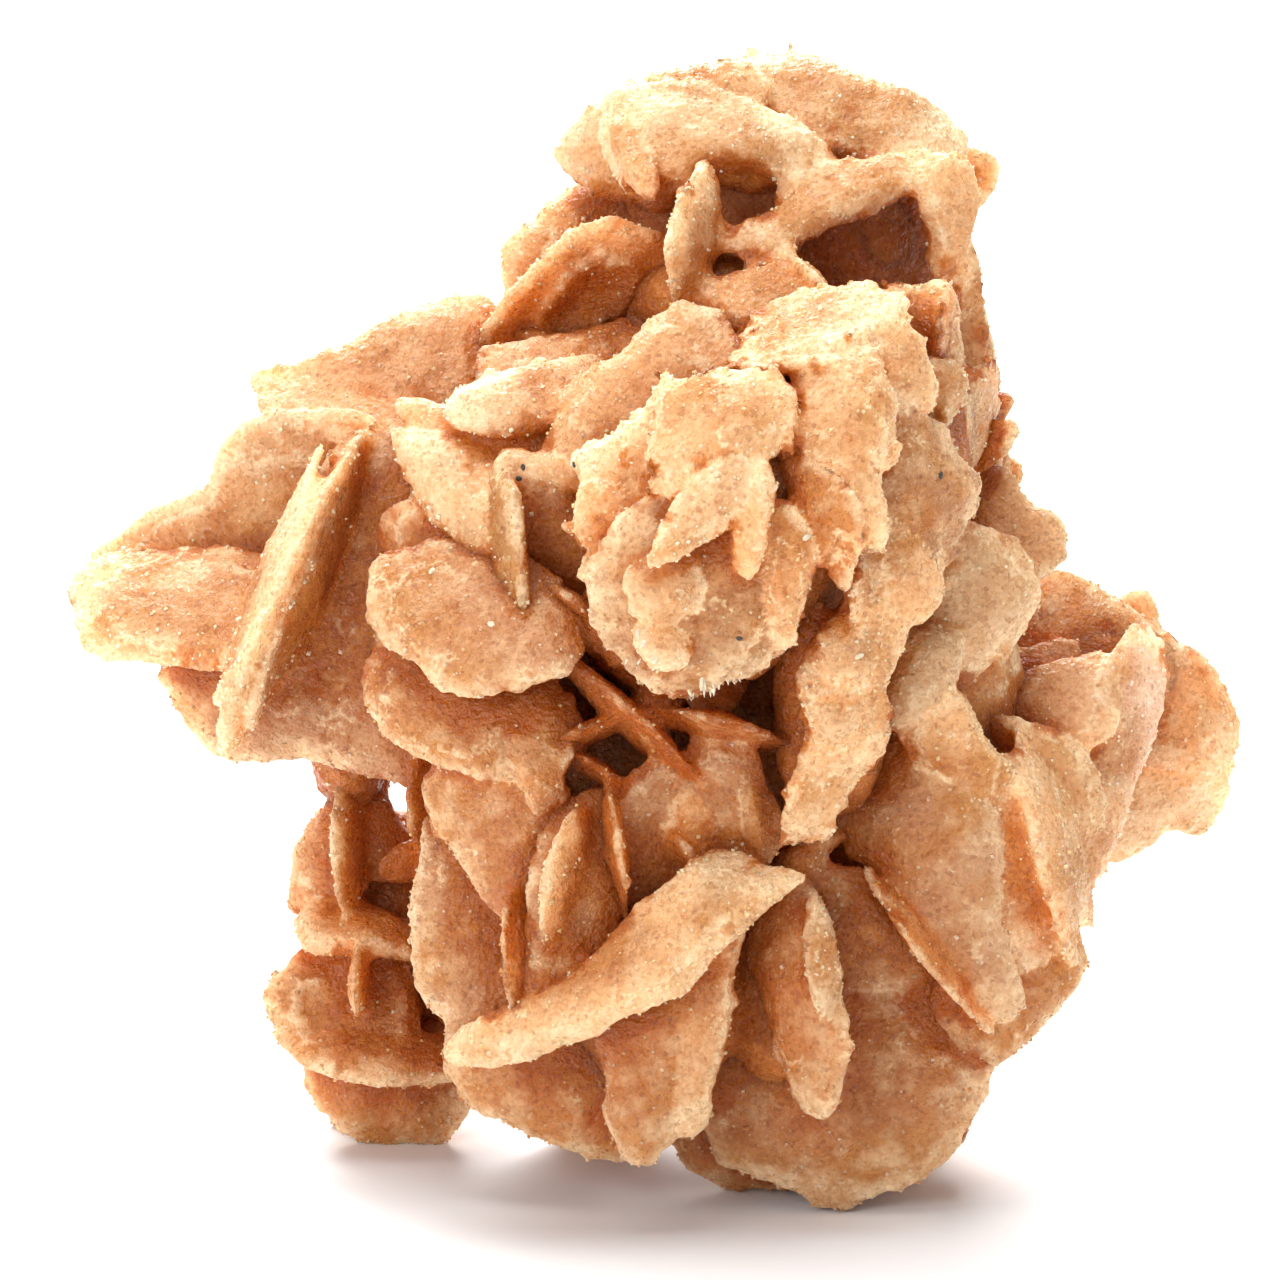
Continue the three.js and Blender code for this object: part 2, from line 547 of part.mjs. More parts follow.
const SKIRT = {
  arrow: plate(
    [
      [-12.2, -26.2], [-9.4, -26.7], [-6, -25.9], [-2.8, -24.7], [0, -23.4], [2.6, -22],
      [4.6, -20], [7.8, -16.7], [10.2, -14.8], [7.8, -13.8], [4.8, -13.3], [1.4, -15.6],
      [-2, -18.6], [-5, -21.8], [-8, -24.4], [-11, -24.2],
    ],
    14.6, [0.42, -0.45], 2.6,
  ),
  arrow_back: plate(
    [
      [-7.4, -24.2], [-7.3, -20], [-7, -15], [-6.3, -12.2], [-5, -10.8], [-3.2, -9], [-1.4, -9.8],
      [-1.4, -13], [-1, -17.4], [-3.4, -20.6], [-5.5, -23],
    ],
    12.2, [-0.2, -0.05], 2.2,
  ),
  arrow_ridge: leaf([-4.6, -14.6, 13.8], [1.2, 4.8, -0.4], [1.2, -0.2, -2.2], 1.6, 1.3),
  belly: plate(
    [
      [-12.3, -26.4], [-11.3, -28.4], [-10.3, -29.4], [-7, -30.7], [-5, -31.4], [-1, -32.5],
      [2, -29], [1, -23], [-5, -22.4], [-9.5, -24],
    ],
    6, [0.05, 0.25], 3,
  ),
  fang: plate(
    [
      [-2.6, -22.5], [-2.3, -28], [-1.9, -31.2], [-1, -32.8], [0.3, -33], [1.4, -31.8], [2.8, -28],
      [3.4, -22], [1, -20],
    ],
    11.6, [0.25, 0.1], 2.8,
  ),
  fang_rim: plate(
    [
      [0.8, -22], [1.2, -28], [2, -30.7], [2.9, -31.1], [4.2, -30.1], [4.6, -28], [5.2, -26],
      [5.7, -23.5], [5.9, -21], [6.4, -17.6], [3.6, -18.6],
    ],
    12.8, [0.3, 0.15], 2,
  ),
  leaf_right: plate(
    [
      [10.4, -14.8], [11.4, -16.4], [12.1, -18.6], [12.5, -21], [12.9, -23.6], [13.1, -26],
      [12.6, -28.2], [11.4, -29.8], [10.5, -29.4], [9, -27], [7.8, -24], [6.6, -20.6],
      [6.6, -17.6], [8.4, -15.6],
    ],
    12.4, [0.55, 0.05], 2.6,
  ),
  leaf_right_wing: plate(
    [
      [10.8, -15.4], [12, -18.6], [12.6, -22.6], [12.2, -24.4], [10.8, -22.4], [10.2, -18.6],
    ],
    14.2, [-0.6, 0], 1.5,
  ),
  skirt: plate(
    [
      [11, -17], [16, -19], [19.4, -22.4], [21.8, -25.2], [21.9, -27.6], [21, -29.6],
      [20.1, -31.3], [18.2, -33.3], [15.5, -34.7], [13, -35.6], [9.5, -34.7], [7, -33.5],
      [4.9, -32.6], [4.3, -31], [3.2, -29.5], [3.2, -26], [4.5, -21],
    ],
    6, [0.05, 0.1], 3.4,
  ),
  skirt_under: plate(
    [
      [1.6, -30], [2.2, -32.4], [4.5, -33.9], [7, -34.7], [9.6, -35.5], [13, -34.6], [12, -30],
      [6, -28],
    ],
    1, [0, 0.2], 3,
  ),
  dusk_plate: plate(
    [
      [10, -14.6], [12, -13.9], [13.8, -14.4], [15.8, -16.4], [17.6, -18.8], [18.9, -21.6],
      [16, -22.6], [12, -21.6], [10.6, -18],
    ],
    8.4, [0.05, 0.3], 2.4,
  ),
  gap_leaf: plate(
    [
      [8.4, -14.2], [10.3, -12.4], [12, -11.7], [12.8, -12.1], [11.8, -13.3], [10.4, -14.8],
      [9, -15],
    ],
    9.4, [0.1, -0.4], 2.2,
  ),
};

const LEFT_LOBE = {
  lobe_crest: plate(
    [
      [-18, -8.4], [-19.8, -10.3], [-21.3, -12.2], [-21.7, -14.5], [-21.5, -17], [-18.5, -17.6],
      [-17, -13],
    ],
    -6.5, [0.5, 0], 2.2,
  ),
  lobe_spine: leaf([-18.1, -12.7, -4.4], [-0.1, 5, 0.3], [0.95, 0, -3], 1.5, 1.2),
  lobe_crest_right: plate(
    [
      [-17.6, -8.6], [-16.2, -9.3], [-15.4, -10.8], [-14.6, -12], [-13, -12.6], [-13.6, -14.4],
      [-16.5, -15], [-17.8, -12],
    ],
    -6.5, [-0.5, -0.1], 2,
  ),
  lobe_shelf: plate(
    [
      [-21.8, -17.2], [-20.2, -16.3], [-18, -16.3], [-15.5, -17.2], [-14, -18], [-12.3, -18.9],
      [-13.2, -19.8], [-15.8, -19.8], [-18.5, -19.4], [-21, -19.3],
    ],
    -4.5, [0, -1.1], 2.4,
  ),
  lobe_face: plate(
    [
      [-21.6, -19.5], [-23.6, -22.8], [-22.5, -24.7], [-19.5, -25.7], [-16, -25.8], [-14.2, -24.6],
      [-13.6, -22], [-14.6, -18.4], [-18, -17.6],
    ],
    -5.5, [0.05, -0.1], 2.8, -0.8,
  ),
  lobe_nib: leaf([-17.6, -21.2, -2.6], [0.1, 2.3, 0], [0.2, 0, -2.4], 1.3, 1.2),
  lobe_lip: plate(
    [
      [-23, -24.6], [-21.6, -26.2], [-19, -27.1], [-16, -27.7], [-13, -27.6], [-10.5, -27],
      [-11, -25], [-15, -24.8], [-19, -24.4],
    ],
    -4.5, [0, -1.1], 2.2,
  ),
  lobe_foot: plate(
    [
      [-21.2, -26], [-20.9, -28.5], [-19.2, -30.3], [-17.5, -31.4], [-15.5, -31.7], [-13, -31.3],
      [-11.2, -30.5], [-10, -28.8], [-10, -25], [-16, -23.6],
    ],
    -8.5, [0.05, 0.2], 3,
  ),
  lobe_wall: plate(
    [
      [-18.5, -13], [-15, -13.6], [-12, -13.4], [-10, -18], [-11, -25], [-17, -24], [-19, -18],
    ],
    -11, [0.2, 0], 3,
  ),
  lobe_bridge: plate(
    [
      [-19.5, -6.4], [-16.4, -6], [-15.4, -9], [-16, -14], [-18.6, -14], [-19.4, -10],
    ],
    -9, [0, 0.1], 2.6,
  ),
};

// Crystals at the back that reach the ground.
const REAR_FEET = {
  rear_foot_right: leaf([10, -23, -13], [1.5, -8, -1], [6, 0, -3], 3.4, 1.1),
  rear_foot_left: leaf([-4, -24, -9], [-0.5, -6.8, -1.5], [5, 0, -4], 3.6, 1.1),
};

const GROUPS = [
  LEFT_WING, UPPER_LEFT, LEFT_PETALS, LATTICE, NOSE, CROWN, RIGHT_SIDE, SKIRT, LEFT_LOBE, REAR_FEET,
];

// The side that is turned away: rosettes of crystals that open about an axis like petals. Each has
// its middle and the way that it faces as [right, up, nearer], the number of crystals and their
// length.
const ROSETTES = [
  { at: [4, 3, -5], faces: [0.1, 0.1, -1], count: 14, length: 27 },
  { at: [9, 25, -7], faces: [0.1, 0.2, -1], count: 6, length: 14 },
  { at: [-19, 4, -4], faces: [-0.3, 0.1, -0.9], count: 5, length: 13 },
  { at: [26.5, -4.5, -7], faces: [0.2, 0, -0.95], count: 5, length: 11.5 },
  { at: [-16, -20, -12], faces: [-0.2, -0.1, -0.95], count: 4, length: 10.5 },
  { at: [10, -19, -3], faces: [0.2, -0.2, -0.95], count: 6, length: 18 },
];
const WIDEST_OPENING = 72; // degrees, of a rosette's outermost crystals
const GOLDEN_ANGLE = Math.PI * (3 - Math.sqrt(5));

// The least and the greatest of what a rosette's crystals vary by.
const REAR_TURN = [0, 0.5]; // radians past the golden angle
const REAR_ROLL = [-0.8, 0.8]; // radians about a crystal's own length
const REAR_LENGTH = [0.75, 1.1]; // as a share of the rosette's length
const REAR_BREADTH = [0.6, 0.85]; // as a share of a crystal's own length
const REAR_THICKNESS = [2.4, 3.8];
const REAR_OFFSET = 0.6; // from the rosette's middle to a crystal's, as a share of half its length
const REAR_TIPS = 1.1;

// The heart, where the crystals have grown together: [middle, half sizes], all [right, up, nearer].
const HEART = [
  { at: [5, 2, -2], half: [14, 20, 9] },
  { at: [6, 8, 11], half: [8, 9, 10] },
  { at: [12.5, -3, 7], half: [3.4, 8, 7] },
  { at: [15, 12, 5], half: [5.5, 9, 8] },
  { at: [19.5, 9.5, -2], half: [3.4, 8, 5] },
  { at: [-9, 1, 2], half: [9, 10, 8.5] },
  { at: [-3, 14, 1], half: [8, 8, 8] },
  { at: [5, 21, -1], half: [6, 4, 6] },
  { at: [9, 26, -6.5], half: [10.5, 8, 6.5] },
  { at: [16, -3, 2], half: [9, 13, 8.5] },
  { at: [27, -3, -7], half: [8.5, 5, 4.5] },
  { at: [1, -21, 4], half: [6, 8, 9] },
  { at: [8.5, -20, 5], half: [4, 8, 7] },
  { at: [13, -22, 0], half: [9, 11, 7] },
  { at: [-8, -16, -2], half: [6, 11, 8] },
  { at: [-18, -5.5, -6], half: [2.6, 5.2, 5] },
  { at: [-16, -20, -11.5], half: [5, 10, 5] },
  { at: [-20, 6, -5], half: [9, 6, 4.5] },
];

const vector = ([x, z, near]) => new THREE.Vector3(x, near, z);

// The point of the cluster that is seen at x, z on the picture plane and stands out by near. Here y
// is the nearness, until the cluster is set upright.
const inSpace = (x, z, near) =>
  new THREE.Vector3(x, 0, z).multiplyScalar(1 - near / EYE_DISTANCE).setY(near);

// A repeatable number from 0 to 1 for crystal i and quality k.
const chance = (i, k) => {
  const wave = Math.sin(i * 12.9898 + k * 78.233) * 43758.5453;
  return wave - Math.floor(wave);
};

const between = ([least, greatest], i, k) => least + (greatest - least) * chance(i, k);

// The rim of a plate, in space, with its middle and the way that its face looks.
function plateRim({ outline, near, turn, thick, bow }) {
  const middle = new THREE.Vector2();
  for (const [x, z] of outline) middle.add(new THREE.Vector2(x, z).divideScalar(outline.length));
  const nearAt = (x, z) => near + turn[0] * (x - middle.x) + turn[1] * (z - middle.y);
  return {
    rim: outline.map(([x, z]) => inSpace(x, z, nearAt(x, z))),
    middle: inSpace(middle.x, middle.y, near),
    face: new THREE.Vector3(-turn[0], 1, -turn[1]).normalize(),
    thick,
    bow,
    broad: Math.max(...outline.map(([x, z]) => middle.distanceTo(new THREE.Vector2(x, z)))) > BROAD,
  };
}

// The rim of a leaf. tips narrows its ends.
function leafRim({ at, long, wide, thick, tips, corners }) {
  const middle = inSpace(...at);
  const rim = Array.from({ length: corners }, (_, i) => {
    const angle = (2 * Math.PI * i) / corners;
    const across = Math.sign(Math.sin(angle)) * Math.abs(Math.sin(angle)) ** tips;
    const point = middle.clone().addScaledVector(vector(long), Math.cos(angle));
    return point.addScaledVector(vector(wide), across);
  });
  const face = vector(long).cross(vector(wide)).normalize();
  return { rim, middle, face, thick, bow: 0, broad: false };
}

// The crystals of a rosette, as leaves.
function rosetteLeaves({ at, faces, count, length }, seed) {
  const axis = vector(faces).normalize();
  const side = new THREE.Vector3(0, 0, 1).cross(axis).normalize();
  return Array.from({ length: count }, (_, i) => {
    const open = THREE.MathUtils.degToRad(WIDEST_OPENING * Math.sqrt((i + 0.5) / count));
    const outwards = side.clone().applyAxisAngle(axis, i * GOLDEN_ANGLE + between(REAR_TURN, i, seed));
    const around = axis.clone().cross(outwards);
    const half = (length / 2) * between(REAR_LENGTH, i, seed + 1);
    const long = axis.clone().multiplyScalar(Math.cos(open)).addScaledVector(outwards, Math.sin(open));
    const wide = around.applyAxisAngle(long, between(REAR_ROLL, i, seed + 2));
    const scaled = (v, size) => [v.x * size, v.z * size, v.y * size];
    const middle = scaled(long, half * REAR_OFFSET);
    return leaf(
      at.map((a, k) => a + middle[k]),
      scaled(long, half),
      scaled(wide, half * between(REAR_BREADTH, i, seed + 3)),
      between(REAR_THICKNESS, i, seed + 4),
      REAR_TIPS,
      FEW_LEAF_POINTS,
    );
  });
}

// A lens-shaped body on a rim: each face rises from the sharp rim to the middle, and the front of a
// broad plate does so over a shoulder.
function lens({ rim, middle, face, thick, bow, broad }) {
  const count = rim.length;
  const bowed = (point, share) => point.setY(point.y + bow * share);
  const points = [...rim];
  const triangles = [];
  for (const way of [1, -1]) {
    const rise = (way * thick) / 2;
    const facing = (a, b, c) => triangles.push(...(way > 0 ? [a, b, c] : [a, c, b]));
    let outer = 0;
    if (broad && way > 0) {
      const inner = points.length;
      for (const p of rim) {
        const shoulder = middle.clone().lerp(p, SHOULDER).addScaledVector(face, rise * SHOULDER_RISE);
        points.push(bowed(shoulder, 1 - SHOULDER ** 2));
      }
      for (let i = 0; i < count; i++) {
        const j = (i + 1) % count;
        facing(outer + i, outer + j, inner + j);
        facing(outer + i, inner + j, inner + i);
      }
      outer = inner;
    }
    for (let i = 0; i < count; i++) facing(outer + i, outer + ((i + 1) % count), points.length);
    points.push(bowed(middle.clone().addScaledVector(face, rise), 1));
  }
  const geometry = new THREE.BufferGeometry().setFromPoints(points);
  geometry.setIndex(triangles);
  return geometry;
}

// One lump of the heart.
function lump({ at, half }) {
  const geometry = new THREE.IcosahedronGeometry(LUMP_REACH, 0);
  geometry.scale(half[0], half[2], half[1]);
  const middle = inSpace(...at);
  return geometry.translate(middle.x, middle.y, middle.z);
}

const wasm = await Module();
wasm.setup();

// A closed geometry as a solid, turned right side out.
function solidOf(geometry) {
  const bare = geometry.clone();
  bare.deleteAttribute("normal");
  bare.deleteAttribute("uv");
  const merged = mergeVertices(bare, WELD);
  const triVerts = new Uint32Array(merged.index.array);
  const vertProperties = new Float32Array(merged.attributes.position.array);
  const made = new wasm.Manifold(new wasm.Mesh({ numProp: 3, vertProperties, triVerts }));
  if (made.volume() > 0) return made;
  for (let i = 0; i < triVerts.length; i += 3) {
    [triVerts[i + 1], triVerts[i + 2]] = [triVerts[i + 2], triVerts[i + 1]];
  }
  return new wasm.Manifold(new wasm.Mesh({ numProp: 3, vertProperties, triVerts }));
}

// A solid as a geometry with its own position attribute and index.
function geometryOf(solid) {
  const { numProp, numVert, vertProperties, triVerts } = solid.getMesh();
  const positions = new Float32Array(numVert * 3);
  for (let i = 0; i < numVert; i++) {
    positions.set(vertProperties.subarray(i * numProp, i * numProp + 3), i * 3);
  }
  const geometry = new THREE.BufferGeometry();
  geometry.setAttribute("position", new THREE.BufferAttribute(positions, 3));
  geometry.setIndex(new THREE.BufferAttribute(new Uint32Array(triVerts), 1));
  return geometry;
}

// The largest of the separate bodies in a geometry, which drops crumbs that the cuts leave.
function largestBody(geometry) {
  const index = geometry.index.array;
  const position = geometry.attributes.position;
  const parent = Array.from({ length: position.count }, (_, i) => i);
  const root = (i) => {
    while (parent[i] !== i) i = parent[i] = parent[parent[i]];
    return i;
  };
  for (let t = 0; t < index.length; t += 3) {
    parent[root(index[t])] = root(index[t + 1]);
    parent[root(index[t + 1])] = root(index[t + 2]);
  }
  const bodies = new Map();
  for (let t = 0; t < index.length; t += 3) {
    const key = root(index[t]);
    if (!bodies.has(key)) bodies.set(key, []);
    bodies.get(key).push(index[t], index[t + 1], index[t + 2]);
  }
  const [largest] = [...bodies.values()].sort((a, b) => b.length - a.length);
  const numbers = new Map();
  const points = [];
  const triangles = largest.map((i) => {
    if (!numbers.has(i)) {
      numbers.set(i, points.length);
      points.push(new THREE.Vector3().fromBufferAttribute(position, i));
    }
    return numbers.get(i);
  });
  const body = new THREE.BufferGeometry().setFromPoints(points);
  body.setIndex(triangles);
  return body;
}

// Turns the cluster from the eye's line of sight to upright: nearness becomes -Y, and the eye's
// downward look is taken out.
function setUpright(geometry) {
  const sine = Math.sin(EYE_HEIGHT_ANGLE);
  const cosine = Math.cos(EYE_HEIGHT_ANGLE);
  const position = geometry.attributes.position;
  for (let i = 0; i < position.count; i++) {
    const [x, near, up] = [position.getX(i), position.getY(i), position.getZ(i)];
    position.setXYZ(i, x, up * sine - near * cosine, PICTURE_HEIGHT + up * cosine + near * sine);
  }
  return geometry;
}

const crystals = [
  ...GROUPS.flatMap((group) => Object.values(group)),
  ...ROSETTES.flatMap((rosette, i) => rosetteLeaves(rosette, 10 * i)),
].map((c) => lens(c.outline ? plateRim(c) : leafRim(c)));

const ground = new THREE.BoxGeometry(GROUND.width, GROUND.width, GROUND.depth);
ground.translate(0, 0, -GROUND.depth / 2);
const grown = [...crystals, ...HEART.map(lump)]
  .map((geometry) => solidOf(setUpright(geometry)))
  .reduce((whole, next) => whole.add(next))
  .subtract(solidOf(ground));

const stone = new THREE.MeshStandardMaterial({ color: 0xd2a078, roughness: 0.85, metalness: 0 });
const body = largestBody(geometryOf(grown));
body.computeBoundingBox();
const centre = body.boundingBox.getCenter(new THREE.Vector3());
const cluster = new THREE.Mesh(body.translate(-centre.x, -centre.y, 0), stone);
cluster.name = "sand_rose";

const rose = new THREE.Group();
rose.add(cluster);

export default rose;
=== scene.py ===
"""The looks of a gypsum sand rose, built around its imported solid.

The crystals are set out as they look from the front, in millimetres: x to the right and z up on the
upright picture plane through the middle of the cluster, and "near" out from that plane towards the
eye. Each becomes a lens with a ragged rim and thinner sheets stacked on its faces. Each group of
crystals is grown together into one skin, and sand grains are strewn over it.
"""

import math

import bpy
import numpy as np
from mathutils import Euler, Matrix, Vector, bvhtree, kdtree, noise


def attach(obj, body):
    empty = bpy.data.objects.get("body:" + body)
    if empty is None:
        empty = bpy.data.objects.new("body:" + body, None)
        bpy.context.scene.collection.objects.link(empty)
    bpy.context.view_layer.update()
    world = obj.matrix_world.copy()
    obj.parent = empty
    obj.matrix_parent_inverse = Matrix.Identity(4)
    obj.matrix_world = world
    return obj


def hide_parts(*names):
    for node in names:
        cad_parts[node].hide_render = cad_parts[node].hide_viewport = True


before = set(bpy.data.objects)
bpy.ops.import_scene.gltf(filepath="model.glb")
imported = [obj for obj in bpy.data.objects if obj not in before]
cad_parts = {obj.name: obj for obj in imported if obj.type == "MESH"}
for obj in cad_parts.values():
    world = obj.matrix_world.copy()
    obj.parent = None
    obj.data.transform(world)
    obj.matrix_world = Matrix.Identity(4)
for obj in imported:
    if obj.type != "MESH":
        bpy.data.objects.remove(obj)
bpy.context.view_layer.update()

MM = 0.001
NODE = "sand_rose"

# The camera and the picture plane, in millimetres and degrees.
EYE_DISTANCE = 350
EYE_HEIGHT_ANGLE = math.radians(12)
PICTURE_MIDDLE = np.array([-0.812, -1.869, 33.4])
PICTURE_WIDTH = 80
SENSOR_WIDTH = 36

# How finely the crystals are made, in millimetres.
FINEST_VOXEL = 0.15
RIM_HALF_THICKNESS = 0.15
RIM_STEP = 0.35
RINGS = 18
FEW_RINGS = 9
LEAF_POINTS = 24

# How full the profile of a crystal is: a higher power keeps the face flat nearer to the rim.
PLATE_BLUNT = 2.9
LEAF_BLUNT = 2.1


def plate(outline, near, turn, thick, bow=0.0):
    """A crystal whose broad face is turned to the front. turn is how many millimetres nearer the
    face comes for each one to the right, and up. bow pushes its middle towards the eye."""
    return {"outline": outline, "near": near, "turn": turn, "thick": thick, "bow": bow,
            "blunt": PLATE_BLUNT}


def leaf(at, long, wide, thick, tips=1.4):
    """A crystal of leaf or disc shape in any attitude, by its middle, half length and half width."""
    return {"at": at, "long": long, "wide": wide, "thick": thick, "tips": tips,
            "blunt": LEAF_BLUNT}


LEFT_WING = {
    "left_fan": plate([
        (-34.4, 5.2), (-31, 8), (-27.5, 9.6), (-25.8, 12.8), (-22, 14.2), (-16.4, 13.7),
        (-17.5, 7), (-22, 3.5), (-28, 3.6),
    ], -3, [0.35, 0.35], 2.6, -1.2),
    "left_shelf": plate([
        (-36, 3), (-34.2, 5), (-29.5, 5.8), (-24, 5.4), (-20, 3), (-21.5, -0.5),
        (-25.8, -2.1), (-30.5, -1.6), (-34.2, -0.7),
    ], 0.5, [0.3, -0.85], 2.2),
    "left_fin": leaf([-21.4, 3.2, 3.5], [4.7, 10.4, -1.5], [0.6, -0.6, -6.5], 3.6, 1.35),
    "left_fin_rim": leaf([-23.3, 3.9, 6], [3.2, 8, -1], [0.5, -0.5, 3], 1.1, 1.2),
    "left_fin_lip": leaf([-21.2, 2.5, 5.6], [3.2, 8, -1], [-0.3, 0.1, 3], 1.1, 1.2),
    "left_apron": plate([
        (-30.2, -1.8), (-28.6, -5), (-26.8, -6.9), (-21, -7.6), (-14, -9), (-8.5, -7),
        (-8.5, 3), (-13, 11.5), (-17.5, 13.2), (-22, 7), (-26, 2),
    ], 1, [0.12, 0.1], 3.2),
    "shoulder_left": plate([
        (-24.4, 16.7), (-22.4, 16.9), (-18.8, 18.4), (-15.8, 20.2), (-12, 21.4),
        (-9.4, 21.4), (-8, 18.5), (-10, 15), (-14.5, 13.6), (-19, 13.4), (-23.6, 14.2),
    ], -3.5, [0.1, -0.35], 2.8),
    "shoulder_lip": plate([
        (-24.5, 16.5), (-22, 16.2), (-19, 15.2), (-15, 14.4), (-12, 12.5), (-15, 11.5),
        (-20, 12.8), (-23.8, 14.6),
    ], -1, [0, -1.3], 2),
}

UPPER_LEFT = {
    "upper_left_back": plate([
        (-8.7, 22.4), (-8.4, 24.6), (-6.2, 26.8), (-3.8, 28.4), (-1, 29), (2, 27.5), (1, 23),
        (-4, 20), (-8, 20),
    ], -5.5, [0, -0.15], 3),
    "upper_left_shell": plate([
        (-10, 18.2), (-9, 20.4), (-6.3, 23.8), (-4.5, 25.5), (-2, 26.7), (0.2, 26.1),
        (2.2, 24.6), (1.8, 21), (-1, 18.6), (-5, 17.2), (-8, 17),
    ], 0.5, [0.1, 0.75], 2.2, -1.6),
    "upper_left_step": plate([
        (-10.6, 18), (-7, 18.7), (-3.4, 19.4), (-0.4, 20.2), (1, 18.5), (-2, 15.5),
        (-6, 14.5), (-10, 15),
    ], 3, [0.1, -0.7], 2),
    "brow": plate([
        (-12.6, 14), (-11, 15.4), (-8, 16.6), (-4.5, 17.4), (-1.8, 17.4), (-2.4, 14.6),
        (-5.2, 13.6), (-8, 12.9), (-10.6, 13.1),
    ], 8.5, [0.1, -1.1], 2.8),
    "fold_back": plate([
        (-6.2, 11.4), (-5.2, 14), (-3.8, 16.6), (-1.8, 17.8), (0, 19.8), (1.4, 21),
        (3.5, 21.3), (5.3, 20.6), (6.2, 19.5), (8, 16.5), (4, 12), (-1, 10.5),
    ], 12, [0.3, -0.3], 2.6),
    "petal_upper": plate([
        (-15, 14.9), (-13.6, 12.2), (-11.8, 10.3), (-9, 8.3), (-5, 9), (-3.5, 12),
        (-7, 14.2), (-11.5, 14.4),
    ], 8, [0.2, -0.55], 2.2),
    "petal_white_rim": plate([
        (-15.2, 13), (-14.8, 10.4), (-13.2, 7.6), (-11.6, 5.8), (-9.8, 4.7), (-7.5, 7.5),
        (-9, 10.8), (-12.8, 13),
    ], 9.2, [0.45, -0.2], 2),
    "far_wedge": plate(
        [(-16.6, 6.9), (-14.2, 9.1), (-11.5, 8), (-9.5, 5), (-13, 3.4), (-16, 5)],
        7, [0.4, 0.3], 2,
    ),
    "glassy_leaf": leaf([-8.4, 5, 11.4], [-0.35, 5.7, 0.6], [1.15, 0, 3.4], 1.9, 1.25),
    "dark_flake": plate([
        (-9, 11.3), (-6.8, 11.3), (-4.6, 10), (-3, 7.5), (-2.6, 3.5), (-4.6, 1.5),
        (-7.4, 2.5), (-8.6, 7),
    ], 10.5, [0.15, 0.45], 1.8),
    "rim_flake": plate(
        [(-9.1, 11.5), (-6.6, 11.6), (-3.6, 10.4), (-2.6, 9.2), (-4.6, 9.5), (-7.4, 10.4)],
        12.4, [0.1, -0.9], 1.3,
    ),
}

LEFT_PETALS = {
    "petal_main": plate([
        (-17, 4.6), (-17.2, 1.2), (-15.6, -0.2), (-14, -1.6), (-12.3, -3), (-9.5, -3.4),
        (-6.8, -2.9), (-4.2, -1.7), (-3.4, 0.5), (-5.5, 3.8), (-9, 6.2), (-13, 6.4),
    ], 13, [0.1, -0.5], 2.4),
    "petal_low": plate([
        (-15.6, -0.2), (-17.4, -1.4), (-17.7, -3), (-16.6, -5.2), (-15, -6.9), (-12, -8),
        (-9.2, -8.7), (-7.4, -7.2), (-7.4, -4), (-10.5, -1),
    ], 10.5, [0.25, -0.15], 2.4),
    "petal_keel": plate([
        (-12.4, -2.8), (-11, -5), (-9.2, -7.2), (-7.6, -9), (-5.9, -10.9), (-4.9, -10.2),
        (-4.2, -7.6), (-3.8, -4.8), (-5, -2.4), (-8.4, -1.6),
    ], 11.3, [0.1, -0.25], 2.6),
    "sail": plate([
        (-13.8, -8.7), (-13.1, -11.2), (-10.8, -14.4), (-8.1, -17.7), (-7.5, -21.3),
        (-6.4, -20.5), (-5.2, -14), (-4.6, -10), (-7, -7), (-11, -6.6),
    ], 9.5, [0.45, 0.25], 2.4),
    "sail_edge": leaf([-7.3, -19.6, 11.5], [0.4, -4.4, 0.8], [1.2, 0.3, -3], 1.6, 1.5),
    "mauve_plate": plate([
        (-13.2, -11), (-13.9, -14.5), (-14.2, -20.6), (-13.7, -22.6), (-12.3, -24),
        (-12.1, -26.2), (-10.8, -26.9), (-7, -25), (-6, -19), (-7.5, -13), (-10.5, -10),
    ], 5.5, [0.1, 0.05], 3),
}

